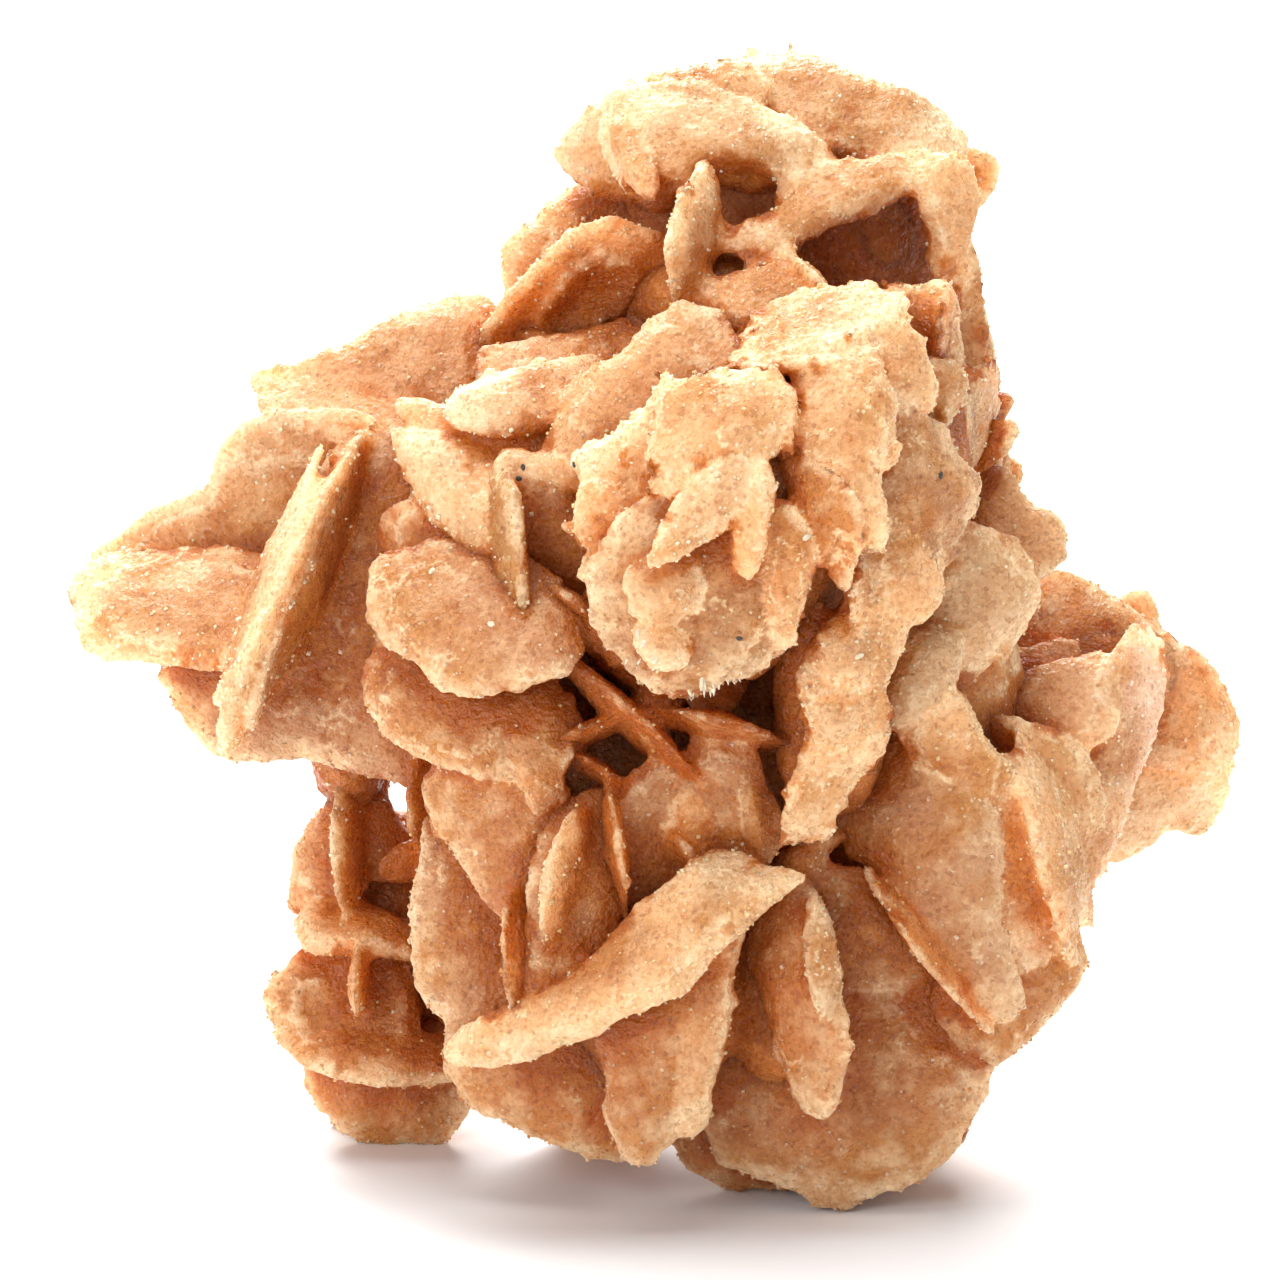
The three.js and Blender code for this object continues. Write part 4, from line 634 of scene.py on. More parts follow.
# The relief of a skin: size and height in millimetres.
RELIEF = (
    ("swell", 6.0, 0.7),
    ("lumps", 2.2, 0.28),
    ("crinkles", 1.5, 0.12),
    ("crumbs", 0.7, 0.15),
    ("grit", 0.32, 0.15),
)
LEAST_ISLAND = 600  # a part of a skin that touches nothing stays if it has so many points

# How the shelter of a place is felt out, with rays of a length in millimetres.
SHELTER_SAMPLES = 45_000
SHELTER_RAYS = 20
SHELTER_REACH = 14
SHELTER_START = 0.25

# Strewn sand: the seed, the pull to the rims and the grain size in millimetres.
STREWN = (("rim_grains", 1, 6, 0.26), ("face_grains", 2, 1, 0.2))
GRAIN_COUNT = 6_000
OCTAHEDRON = np.array([(1, 0, 0), (-1, 0, 0), (0, 1, 0), (0, -1, 0), (0, 0, 1), (0, 0, -1)], float)
OCTAHEDRON_SIDES = np.array([
    (0, 2, 4), (2, 1, 4), (1, 3, 4), (3, 0, 4), (2, 0, 5), (1, 2, 5), (3, 1, 5), (0, 3, 5),
])

# Where the picture shows a dark grain or a pale fleck, and their half sizes, in millimetres.
DARK_SPECKS = ((6.2, 0.1), (18.8, 10.3), (-7.6, 10.1), (-4.1, 11), (-7.3, 10.8))
DARK_HALF = (0.24, 0.15, 0.12)
PALE_FLECKS = (
    (-13, 4.3), (-9.3, 1), (10.4, 6.4), (0.2, -0.2), (-0.1, 0.4), (0.9, -1.3), (13.7, -1),
)
PALE_HALF = (0.3, 0.17, 0.14)
NEEDLES_PER_POINT = 6

# The lights: place and width in metres, and power in watts.
LIGHTS = (
    ("overhead", (-0.06, 0.0, 0.6), 0.5, 3.5),
    ("back", (-0.15, 0.9, 0.7), 0.9, 27),
    ("front", (-0.35, -0.5, 0.3), 0.3, 1.5),
)
LIT_POINT = Vector((0, 0, 0.03))


def chance(i, k):
    """A repeatable number from 0 to 1 for crystal i and quality k."""
    wave = math.sin(i * 12.9898 + k * 78.233) * 43758.5453
    return wave - math.floor(wave)


def swapped(v):
    """Turns [x, z, near] into [x, near, z], or back."""
    return np.array([v[0], v[2], v[1]], float)


def in_space(points):
    """Seen points [x, z, near] as points [x, near, up] beside the middle of the picture plane."""
    points = np.atleast_2d(np.array(points, float))
    shrink = 1 - points[:, 2] / EYE_DISTANCE
    return np.column_stack([points[:, 0] * shrink, points[:, 2], points[:, 1] * shrink])


def upright(points):
    """Turns points [x, near, up] into the row frame, still in millimetres."""
    sine = math.sin(EYE_HEIGHT_ANGLE)
    cosine = math.cos(EYE_HEIGHT_ANGLE)
    x, near, up = points.T
    turned = np.column_stack([x, up * sine - near * cosine, up * cosine + near * sine])
    return turned + PICTURE_MIDDLE


def smooth_loop(corners, step):
    """A closed curve through the corners, with a point about every step millimetres."""
    corners = np.array(corners, float)
    before = np.roll(corners, 1, axis=0)
    after = np.roll(corners, -1, axis=0)
    back = np.linalg.norm(corners - before, axis=1)[:, None]
    ahead = np.linalg.norm(after - corners, axis=1)[:, None]
    slope = ((corners - before) / back * ahead + (after - corners) / ahead * back) / (back + ahead)
    loop = []
    for i, corner in enumerate(corners):
        j = (i + 1) % len(corners)
        span = ahead[i][0]
        for t in np.arange(0, 1, 1 / max(2, round(span / step))):
            square, cube = t * t, t * t * t
            loop.append(
                (2 * cube - 3 * square + 1) * corner
                + (cube - 2 * square + t) * span * slope[i]
                + (3 * square - 2 * cube) * corners[j]
                + (cube - square) * span * slope[j]
            )
    return np.array(loop)


def plate_rim(crystal):
    """The rim of a plate in space, its middle and the way that its face looks."""
    outline = np.array(crystal["outline"], float)
    middle = outline.mean(axis=0)
    turn = np.array(crystal["turn"], float)
    loop = smooth_loop(outline, RIM_STEP)
    near = crystal["near"] + (loop - middle) @ turn
    rim = in_space(np.column_stack([loop, near]))
    face = np.array([-turn[0], 1, -turn[1]])
    return rim, in_space([*middle, crystal["near"]])[0], face / np.linalg.norm(face)


def leaf_rim(crystal):
    """The rim of a leaf in space, its middle and the way that its face looks."""
    middle = in_space(crystal["at"])[0]
    long = swapped(crystal["long"])
    wide = swapped(crystal["wide"])
    angle = np.linspace(0, 2 * math.pi, LEAF_POINTS, endpoint=False)
    across = np.sign(np.sin(angle)) * np.abs(np.sin(angle)) ** crystal["tips"]
    corners = middle + np.outer(np.cos(angle), long) + np.outer(across, wide)
    face = np.cross(long, wide)
    return smooth_loop(corners, RIM_STEP), middle, face / np.linalg.norm(face)


def rosette_leaves(rosette, seed):
    """The crystals of a rosette, spread about its axis and each a little turned and sized."""
    axis = Vector(swapped(rosette["faces"])).normalized()
    side = Vector((0, 0, 1)).cross(axis).normalized()
    leaves = []
    for i in range(rosette["count"]):
        opening = WIDEST_OPENING * math.sqrt((i + 0.5) / rosette["count"])
        roll = i * GOLDEN_ANGLE + 0.5 * chance(i, seed)
        outwards = Matrix.Rotation(roll, 3, axis) @ side
        half = rosette["length"] / 2 * (0.75 + 0.35 * chance(i, seed + 1))
        long = axis * math.cos(opening) + outwards * math.sin(opening)
        around = axis.cross(outwards)
        wide = Matrix.Rotation((chance(i, seed + 2) - 0.5) * 1.6, 3, long) @ around
        middle = np.array(rosette["at"]) + swapped(long * half * 0.6)
        breadth = half * (0.6 + 0.25 * chance(i, seed + 3))
        thick = 2.4 + 1.4 * chance(i, seed + 4)
        leaves.append(leaf(middle, swapped(long * half), swapped(wide * breadth), thick, 1.1))
    return leaves


def wander(points, wavelength, seed):
    """A smooth random number from about -1 to 1 at each point, with a given wavelength."""
    offset = Vector((seed * 7.31, seed * 3.17, seed * 1.93))
    return np.array([noise.noise(Vector(p) / wavelength + offset) for p in points])


def chipped(rim, middle, seed, depth):
    """A rim with bites and splinters up to about depth millimetres."""
    reach = np.linalg.norm(rim - middle, axis=1)
    bites = wander(rim, 3.2, seed) - 0.8 * np.abs(wander(rim, 1.6, seed + 20))
    bites += 0.6 * wander(rim, 0.7, seed + 50) + 0.2
    bites *= depth * np.clip(reach / 4, 0.25, 1)
    return middle + (rim - middle) * (1 + bites / reach)[:, None]


def rise_over(share, thick, blunt):
    """How far a face of a crystal stands off its middle plane, from the middle out to the rim."""
    crown = max(thick / 2 - RIM_HALF_THICKNESS, 0.05)
    return RIM_HALF_THICKNESS + crown * (1 - share ** blunt) ** 0.85


def growth_steps(rim, seed):
    """Two low steps on a face: how far out each lies, its sway along the rim and its height."""
    rng = np.random.default_rng(seed)
    sway = wander(rim, 2.6, seed + 80) * 0.14
    return [
        (rng.uniform(0.4, 0.93), sway * rng.uniform(-1, 1), rng.uniform(0.05, 0.15))
        for _ in range(2)
    ]


def band(inner, outer, count):
    """The quads between two rings of count points that start at the points inner and outer."""
    turn = np.arange(count)
    after = np.roll(turn, -1)
    return np.column_stack([inner + turn, outer + turn, outer + after, inner + after])


def lens(rim, middle, face, thick, bow=0.0, blunt=4.0, rings=RINGS, seed=0):
    """The points, faces and closeness to the rim of a lens-shaped body on a rim. A seed gives its
    faces growth steps that follow the rim."""
    shares = 1 - (1 - np.linspace(0, 1, rings)) ** 1.35
    steps = growth_steps(rim, seed) if seed else []
    layers = []
    for side in (1, -1):
        for share in shares:
            rise = np.full(len(rim), rise_over(share, thick, blunt))
            for at, swing, height in steps:
                rise -= height * np.clip((share - at - swing) * 14, 0, 1) * (1 - share ** 8)
            rise = np.maximum(rise, 0.1)
            layer = middle + (rim - middle) * share + side * rise[:, None] * face
            layer[:, 1] += bow * (1 - share ** 2)
            layers.append(layer)
    count = len(rim)
    faces = [band(k * count, (k + 1) * count, count) for k in range(rings - 1)]
    faces += [
        band(k * count, (k + 1) * count, count)[:, ::-1] for k in range(rings, 2 * rings - 1)
    ]
    faces.append(band((rings - 1) * count, (2 * rings - 1) * count, count))
    return np.concatenate(layers), np.concatenate(faces), np.tile(np.repeat(shares, count), 2)


def flake(at, face, rng, size):
    """A small angular chip of crystal."""
    across = np.cross(face, rng.normal(size=3))
    across /= np.linalg.norm(across)
    up = np.cross(face, across)
    corners = []
    for angle in np.sort(rng.uniform(0, 2 * math.pi, 7)):
        radius = size * rng.uniform(0.6, 1.1)
        corners.append(at + radius * (math.cos(angle) * across + 0.7 * math.sin(angle) * up))
    return lens(np.array(corners), at, face, rng.uniform(0.35, 0.6), blunt=3, rings=4)


def crystal_bodies(crystal, number, crumbly):
    """A crystal's own lens, thinner sheets stacked on its faces and the chips stuck to them."""
    rim, middle, face = plate_rim(crystal) if "outline" in crystal else leaf_rim(crystal)
    thick, blunt = crystal["thick"], crystal["blunt"]
    bow = crystal.get("bow", 0.0)
    reach = np.linalg.norm(rim - middle, axis=1)
    yield lens(chipped(rim, middle, number, 0.5), middle, face, thick, bow, blunt, seed=number + 1)
    rng = np.random.default_rng(1000 + number)
    if reach.max() > LEAST_SHEETED and "outline" in crystal:
        for side in (1, -1):
            share = rng.uniform(0.5, 0.85)
            aside = (rim[rng.integers(len(rim))] - middle) * rng.uniform(0.1, 1) * (0.95 - share)
            at = middle + aside + side * face * thick * rng.uniform(0.2, 0.32)
            sheet = chipped(at + (rim - middle) * share, at, number * 7 + 300 * side, 0.8)
            yield lens(sheet, at, face, rng.uniform(0.6, 0.9), bow, blunt, rings=FEW_RINGS)
    area = math.pi * reach.mean() ** 2
    spacing = CRUMBLY_SPACING if crumbly else FLAKE_SPACING
    for _ in range(int(area / spacing)):
        share = (1 if crumbly else 0.9) - 0.75 * rng.random() ** 2
        side = rng.choice((1, -1))
        spot = middle + (rim[rng.integers(len(rim))] - middle) * share
        at = spot + side * face * (rise_over(share, thick, blunt) - FLAKE_SINK)
        at = at + np.array([0, bow * (1 - share ** 2), 0])
        tilt = face + rng.normal(size=3) * 0.25
        tilt /= np.linalg.norm(tilt)
        yield flake(at, tilt, rng, rng.uniform(0.4, 1.1))


def coat(at, half, seed):
    """Small crystals on a lump of the heart, which stand out at the back and lie flat elsewhere."""
    rng = np.random.default_rng(seed)
    at, half = np.array(at, float), np.array(half, float)
    count = int(4 * math.pi * half.prod() ** (2 / 3) / COAT_SPACING)
    size = min(1.0, half.min() / FULL_COAT_LUMP)
    for i in range(count):
        ahead = 1 - 2 * (i + 0.5) / count
        turn = i * GOLDEN_ANGLE
        out = np.array([math.cos(turn), math.sin(turn), 0]) * math.sqrt(1 - ahead * ahead)
        out[2] = ahead
        flat = ahead > FLAT_COAT_AHEAD or at[1] + out[1] * half[1] > FLAT_COAT_HEIGHT
        spot = at + out * half * (0.93 if flat else 0.97)
        below = upright(in_space(spot))[0][2] < LOWEST_COAT
        if below or ahead > LAST_COAT_AHEAD or (flat and half.min() < LEAST_FLAT_COATED):
            continue
        normal = out / half
        normal /= np.linalg.norm(normal)
        along = np.cross(normal, rng.normal(size=3))
        along /= np.linalg.norm(along)
        lean = rng.uniform(0, 0.3) if flat else rng.uniform(0.3, 1.15)
        reach = size * (0.75 if flat else 1)
        long = (along * math.cos(lean) + normal * math.sin(lean)) * rng.uniform(4.2, 7.2) * reach
        wide = np.cross(normal, along) * rng.uniform(2.4, 4.2) * reach
        yield leaf(spot, long, wide, rng.uniform(1.1, 1.8), 1.15)


def ball(rows, columns, gap=0.0):
    """The points and quads of a ball of radius 1. A gap, in radians, leaves its poles open."""
    polar, round_ = np.meshgrid(
        np.linspace(gap, math.pi - gap, rows),
        np.linspace(0, 2 * math.pi, columns, endpoint=False),
        indexing="ij",
    )
    out = np.sin(polar)
    points = np.stack([out * np.cos(round_), out * np.sin(round_), np.cos(polar)], axis=-1)
    quads = [band(r * columns, (r + 1) * columns, columns) for r in range(rows - 1)]
    return points.reshape(-1, 3), np.concatenate(quads)


def heart_lump(at, half):
    """A ball of the heart, with no rim."""
    points, quads = ball(24, 36)
    return in_space(at)[0] + points * swapped(half), quads, np.zeros(len(points))


def linear(hex_colour):
    """An sRGB hex colour as linear RGBA."""
    channels = [int(hex_colour[i : i + 2], 16) / 255 for i in (1, 3, 5)]
    return [c / 12.92 if c <= 0.04045 else ((c + 0.055) / 1.055) ** 2.4 for c in channels] + [1.0]


def tint_of(name, number):
    """A crystal's colour: its tint, a little lighter or darker. Some tints hold painted shade and
    painted light.
    """
    tint = next((hex_colour for hex_colour, names in TINTS_WITH_PAINTED_SHADE_AND_LIGHT.items() if name in names), PEACH)
    mixed = TINT_SHARE * np.array(linear(tint)) + (1 - TINT_SHARE) * np.array(linear(PEACH))
    return mixed * (0.92 + 0.16 * chance(number, 7))


def joined(bodies):
    """Many bodies as one overlapping mesh in the row frame, with rim closeness and tint."""
    points, faces, closeness, tints = [], [], [], []
    start = 0
    for (body_points, body_faces, body_closeness), tint in bodies:
        points.append(body_points)
        faces.append(body_faces + start)
        closeness.append(body_closeness)
        tints.append(np.tile(tint, (len(body_points), 1)))
        start += len(body_points)
    points = upright(np.concatenate(points))
    points[:, 2] = np.maximum(points[:, 2], 0.1)
    return points * MM, np.concatenate(faces), np.concatenate(closeness), np.concatenate(tints)


def mesh_object(name, points, faces):
    """An object in the scene, from a table of points in metres and a table or list of faces."""
    mesh = bpy.data.meshes.new(name)
    mesh.from_pydata(points.tolist(), [], faces if isinstance(faces, list) else faces.tolist())
    mesh.validate()
    obj = bpy.data.objects.new(name, mesh)
    bpy.context.scene.collection.objects.link(obj)
    return obj


def read(items, field, width, kind=np.float32):
    """A field of all items of a mesh, as a table with width columns or as a row of numbers."""
    values = np.empty(width * len(items), kind)
    items.foreach_get(field, values)
    return values if width == 1 else values.reshape(-1, width)


def read_points(mesh):
    return read(mesh.vertices, "co", 3).astype(float)


def read_triangles(mesh):
    mesh.calc_loop_triangles()
    return read(mesh.loop_triangles, "vertices", 3, np.int32)


def mark(mesh, name, values):
    """Writes a number or a colour at each point, for the materials to read."""
    coloured = values.ndim == 2
    attribute = mesh.attributes.new(name, "FLOAT_COLOR" if coloured else "FLOAT", "POINT")
    flat_values = values.astype(np.float32).ravel()
    attribute.data.foreach_set("color" if coloured else "value", flat_values)


def relief_texture(label, size):
    """A cloudy texture, or a crinkled one, whose features are size millimetres wide."""
    crinkled = label == "crinkles"
    texture = bpy.data.textures.new(label, "MUSGRAVE" if crinkled else "CLOUDS")
    texture.noise_scale = size * MM
    if crinkled:
        texture.musgrave_type = "RIDGED_MULTIFRACTAL"
        texture.octaves = 2
        texture.noise_intensity = 0.6
    else:
        texture.noise_depth = 1
    return texture


def bake(obj):
    """Turns what the modifiers make into the object's own mesh."""
    depsgraph = bpy.context.evaluated_depsgraph_get()
    made = bpy.data.meshes.new_from_object(obj.evaluated_get(depsgraph))
    obj.modifiers.clear()
    old = obj.data
    obj.data = made
    bpy.data.meshes.remove(old)
    made.name = obj.name


def islands(count, edges):
    """The lowest point number of the connected island that each point is on."""
    label = np.arange(count)
    while True:
        before = label.copy()
        low = np.minimum(label[edges[:, 0]], label[edges[:, 1]])
        np.minimum.at(label, edges[:, 0], low)
        np.minimum.at(label, edges[:, 1], low)
        label = label[label]
        if (label == before).all():
            return label


def without_crumbs(name, obj):
    """The skin without the loose crumbs that touch nothing, and with nothing below the floor."""
    mesh = obj.data
    points = read_points(mesh)
    points[:, 2] = np.maximum(points[:, 2], 0)
    corners = read_triangles(mesh)
    label = islands(len(points), np.concatenate([corners[:, :2], corners[:, 1:]]))
    size = np.bincount(label, minlength=len(points))
    keep = size[label] >= LEAST_ISLAND
    number = np.cumsum(keep) - 1
    bpy.data.objects.remove(obj)
    bpy.data.meshes.remove(mesh)
    return mesh_object(name, points[keep], number[corners[keep[corners[:, 0]]]])


def grown_skin(name, bodies, triangles, voxel, fill, rough=1.0):
    """Overlapping bodies grown together into one skin with a crumbly surface."""
    points, faces, closeness, tints = joined(bodies)
    obj = mesh_object(name, points, faces)
    for swell in (fill, -fill):
        fuse = obj.modifiers.new("grow together", "REMESH")
        fuse.mode = "VOXEL"
        fuse.voxel_size = max(voxel, FINEST_VOXEL) * MM
        fuse.use_smooth_shade = True
        fatten = obj.modifiers.new("fill clefts", "DISPLACE")
        fatten.strength = swell * MM
        fatten.mid_level = 0
    for label, size, strength in RELIEF:
        push = obj.modifiers.new(label, "DISPLACE")
        push.texture = bpy.data.textures.get(label) or relief_texture(label, size)
        push.texture_coords = "LOCAL"
        push.strength = strength * rough * MM
        push.mid_level = 0.5
    bake(obj)
    made = 2 * len(obj.data.polygons)
    thin = obj.modifiers.new("thin out", "DECIMATE")
    thin.ratio = min(1.0, triangles / made)
    bake(obj)
    obj = without_crumbs(name, obj)
    mark_skin(obj, points, closeness, tints)
    return obj


def mark_skin(obj, body_points, closeness, tints):
    """Gives each point of the skin the rim closeness and the tint of the crystal that it is on."""
    tree = kdtree.KDTree(len(body_points))
    for i, p in enumerate(body_points):
        tree.insert(p, i)
    tree.balance()
    nearest = np.array([tree.find(p)[1] for p in read_points(obj.data)])
    mark(obj.data, "rim", closeness[nearest])
    mark(obj.data, "tint", tints[nearest])


def mark_shelter(objects):
    """Gives each point how deep it lies between the crystals, from 0 in the open to 1. Returns the
    surface of all the skins, to find points on."""
    rng = np.random.default_rng(5)
    own_points = [read_points(obj.data) for obj in objects]
    points = np.concatenate(own_points)
    normals = np.concatenate([read(obj.data.vertex_normals, "vector", 3) for obj in objects])
    starts = np.cumsum([0] + [len(own) for own in own_points])
    faces = [read_triangles(obj.data) + start for obj, start in zip(objects, starts)]
    surface = bvhtree.BVHTree.FromPolygons(
        points.tolist(), np.concatenate(faces).tolist(), all_triangles=True
    )
    chosen = rng.choice(len(points), min(SHELTER_SAMPLES, len(points)), replace=False)
    tree = kdtree.KDTree(len(chosen))
    hidden = np.empty(len(chosen))
    directions = rng.normal(size=(SHELTER_RAYS, 3))
    directions /= np.linalg.norm(directions, axis=1)[:, None]
    for k, i in enumerate(chosen):
        origin = Vector(points[i] + normals[i] * SHELTER_START * MM)
        blocked = 0.0
        for direction in directions + normals[i] * 1.05:
            hit = surface.ray_cast(origin, Vector(direction), SHELTER_REACH * MM)
            if hit[0] is not None:
                blocked += 1 - hit[3] / (SHELTER_REACH * MM)
        hidden[k] = blocked / SHELTER_RAYS
        tree.insert(points[i], k)
    tree.balance()
    for obj, own in zip(objects, own_points):
        near = (hidden[[k for _, k, _ in tree.find_n(p, 4)]] for p in own)
        mark(obj.data, "shelter", np.array([values.mean() for values in near]))
    return surface


def seen_at(surface, x, z):
    """Where the eye sees the point (x, z) of the picture plane on the crystals, and which way it
    faces."""
    away = np.array([0, EYE_DISTANCE, 0], float)
    eye = Vector(upright(away[None])[0] * MM)
    target = Vector(upright(np.array([[x, 0, z]], float))[0] * MM)
    place, normal, _, _ = surface.ray_cast(eye, (target - eye).normalized(), 1)
    return np.array(place) / MM, np.array(normal)


def speck(at, normal, half, seed):
    """A small rounded lump half sunk in a face, in the row frame."""
    rng = np.random.default_rng(seed)
    rows, columns = 7, 10
    points, quads = ball(rows, columns, 0.02)
    points = points * (0.8 + 0.4 * rng.random((rows * columns, 1)))
    across = np.cross(normal, rng.normal(size=3))
    across /= np.linalg.norm(across)
    axes = np.array([across * half[0], np.cross(normal, across) * half[1], normal * half[2]])
    first_ring = list(range(columns))
    last_ring = [(rows - 1) * columns + k for k in first_ring]
    return at + points @ axes, quads.tolist() + [first_ring[::-1], last_ring]


def needle(at, direction, length, half):
    """A thin pointed prism of gypsum."""
    direction = direction / np.linalg.norm(direction)
    across = np.cross(direction, [0.3, 0.9, 0.2])
    across *= half / np.linalg.norm(across)
    up = np.cross(direction, across)
    ring = [across, up, -across, -up]
    points = [at + r - direction * length * 0.3 for r in ring]
    points += [at + 0.8 * r + direction * length * 0.6 for r in ring]
    points.append(at + direction * length)
    faces = [[3, 2, 1, 0]]
    faces += [[k, (k + 1) % 4, 4 + (k + 1) % 4, 4 + k] for k in range(4)]
    faces += [[4 + k, 4 + (k + 1) % 4, 8] for k in range(4)]
    return np.array(points), faces


def gathered(name, bodies):
    """Small bodies in the row frame as one object."""
    points, faces = [], []
    start = 0
    for body_points, body_faces in bodies:
        points.append(body_points)
        faces += [[start + k for k in face] for face in body_faces]
        start += len(body_points)
    return mesh_object(name, np.concatenate(points) * MM, faces)


def add_node(tree, kind, settings=None, links=None):
    """Adds a node. Settings go to its inputs or its properties, and links feed its inputs."""
    node = tree.nodes.new(kind)
    for key, value in (settings or {}).items():
        if key == "stops":
            ramp = node.color_ramp
            while len(ramp.elements) < len(value):
                ramp.elements.new(0.5)
            for element, (place, colour) in zip(ramp.elements, value):
                element.position = place
                element.color = colour
        elif isinstance(key, int) or key in node.inputs.keys():
            node.inputs[key].default_value = value
        else:
            setattr(node, key, value)
    for key, source in (links or {}).items():
        tree.links.new(source, node.inputs[key])
    return node


def per_mm(size):
    """The scale of a pattern in metres whose cells are size millimetres wide."""
    return 1 / (size * MM)


def new_material(name):
    material = bpy.data.materials.new(name)
    material.use_nodes = True
    tree = material.node_tree
    tree.nodes.clear()
    return material, tree


def clouded_tint(tree, clouds, place):
    """Each crystal's tint, some of which hold painted shade and painted light, with amber patches
    where iron stains it and pale clear clouds.
    """
    tint = add_node(tree, "ShaderNodeAttribute", {"attribute_name": "tint"}).outputs["Color"]
    patches = add_node(
        tree, "ShaderNodeTexNoise",
        {"Scale": per_mm(5), "Detail": 1, "Roughness": 0.5}, {"Vector": place},
    )
    amber_share = add_node(
        tree, "ShaderNodeMapRange", {"From Min": 0.44, "From Max": 0.64, "To Max": 0.8},
        {"Value": patches.outputs["Fac"]},
    )
    stained = add_node(
        tree, "ShaderNodeMix", {"data_type": "RGBA", 7: linear("#C4863C")},
        {0: amber_share.outputs[0], 6: tint},
    )
    pale_share = add_node(
        tree, "ShaderNodeMapRange", {"From Min": 0.46, "From Max": 0.64, "To Max": 0.5},
        {"Value": clouds},
    )
    return add_node(
        tree, "ShaderNodeMix", {"data_type": "RGBA", 7: linear("#F2D6AE")},
        {0: pale_share.outputs[0], 6: stained.outputs[2]},
    ).outputs[2]


def painted_shade_in_clefts(tree, colour, shelter, closeness):
    """The colour with painted shade: ambered where a crystal is thick or sheltered, and brown far in
    the clefts, where little light reaches.
    """
    from_rim = add_node(
        tree, "ShaderNodeMath", {"operation": "MULTIPLY_ADD", 1: -0.5, 2: 0.5}, {0: closeness}
    )
    depth = add_node(
        tree, "ShaderNodeMath", {"operation": "MULTIPLY_ADD", 1: 2.4, "use_clamp": True},
        {0: shelter, 2: from_rim.outputs[0]},
    )
    # Painted shade: amber multiplied in where the crystal is thick or sheltered from the light.
    amber_painted_shade = add_node(
        tree, "ShaderNodeMix",
        {"data_type": "RGBA", "blend_type": "MULTIPLY", 7: linear("#DCA45C")},
        {0: depth.outputs[0], 6: colour},
    )
    # Painted shade: brown deep in the clefts, where little light reaches.
    painted_cleft_shade_share = add_node(
        tree, "ShaderNodeMapRange", {"From Min": 0.2, "From Max": 0.6, "To Max": 0.9},
        {"Value": shelter},
    )
    return add_node(
        tree, "ShaderNodeMix", {"data_type": "RGBA", 7: linear("#A8591B")},
        {0: painted_cleft_shade_share.outputs[0], 6: amber_painted_shade.outputs[2]},
    ).outputs[2]


def frost_and_painted_glow_at_rims(tree, colour, clouds, shelter, closeness):
    """The colour, with a broken pale frost along the thin rims that stand in the open: partly their
    own paler crust and partly painted glow of the light shining through them.
    """
    broken = add_node(
        tree, "ShaderNodeMath", {"operation": "MULTIPLY_ADD", 1: 0.5}, {0: clouds, 2: closeness}
    )
    rim_share = add_node(
        tree, "ShaderNodeMapRange", {"From Min": 1.0, "From Max": 1.3, "To Max": 0.75},
        {"Value": broken.outputs[0]},
    )
    # Painted glow: the pale rim is kept to rims in the open, where the light reaches.
    open_share = add_node(
        tree, "ShaderNodeMapRange",
        {"From Min": 0.08, "From Max": 0.35, "To Min": 1, "To Max": 0}, {"Value": shelter},
    )
    # Share of pale frost and painted glow on the rims.
    frosted = add_node(
        tree, "ShaderNodeMath", {"operation": "MULTIPLY"},
        {0: rim_share.outputs[0], 1: open_share.outputs[0]},
    )
    return add_node(
        tree, "ShaderNodeMix", {"data_type": "RGBA", 7: linear("#F8DDB4")},
        {0: frosted.outputs[0], 6: colour},
    ).outputs[2]


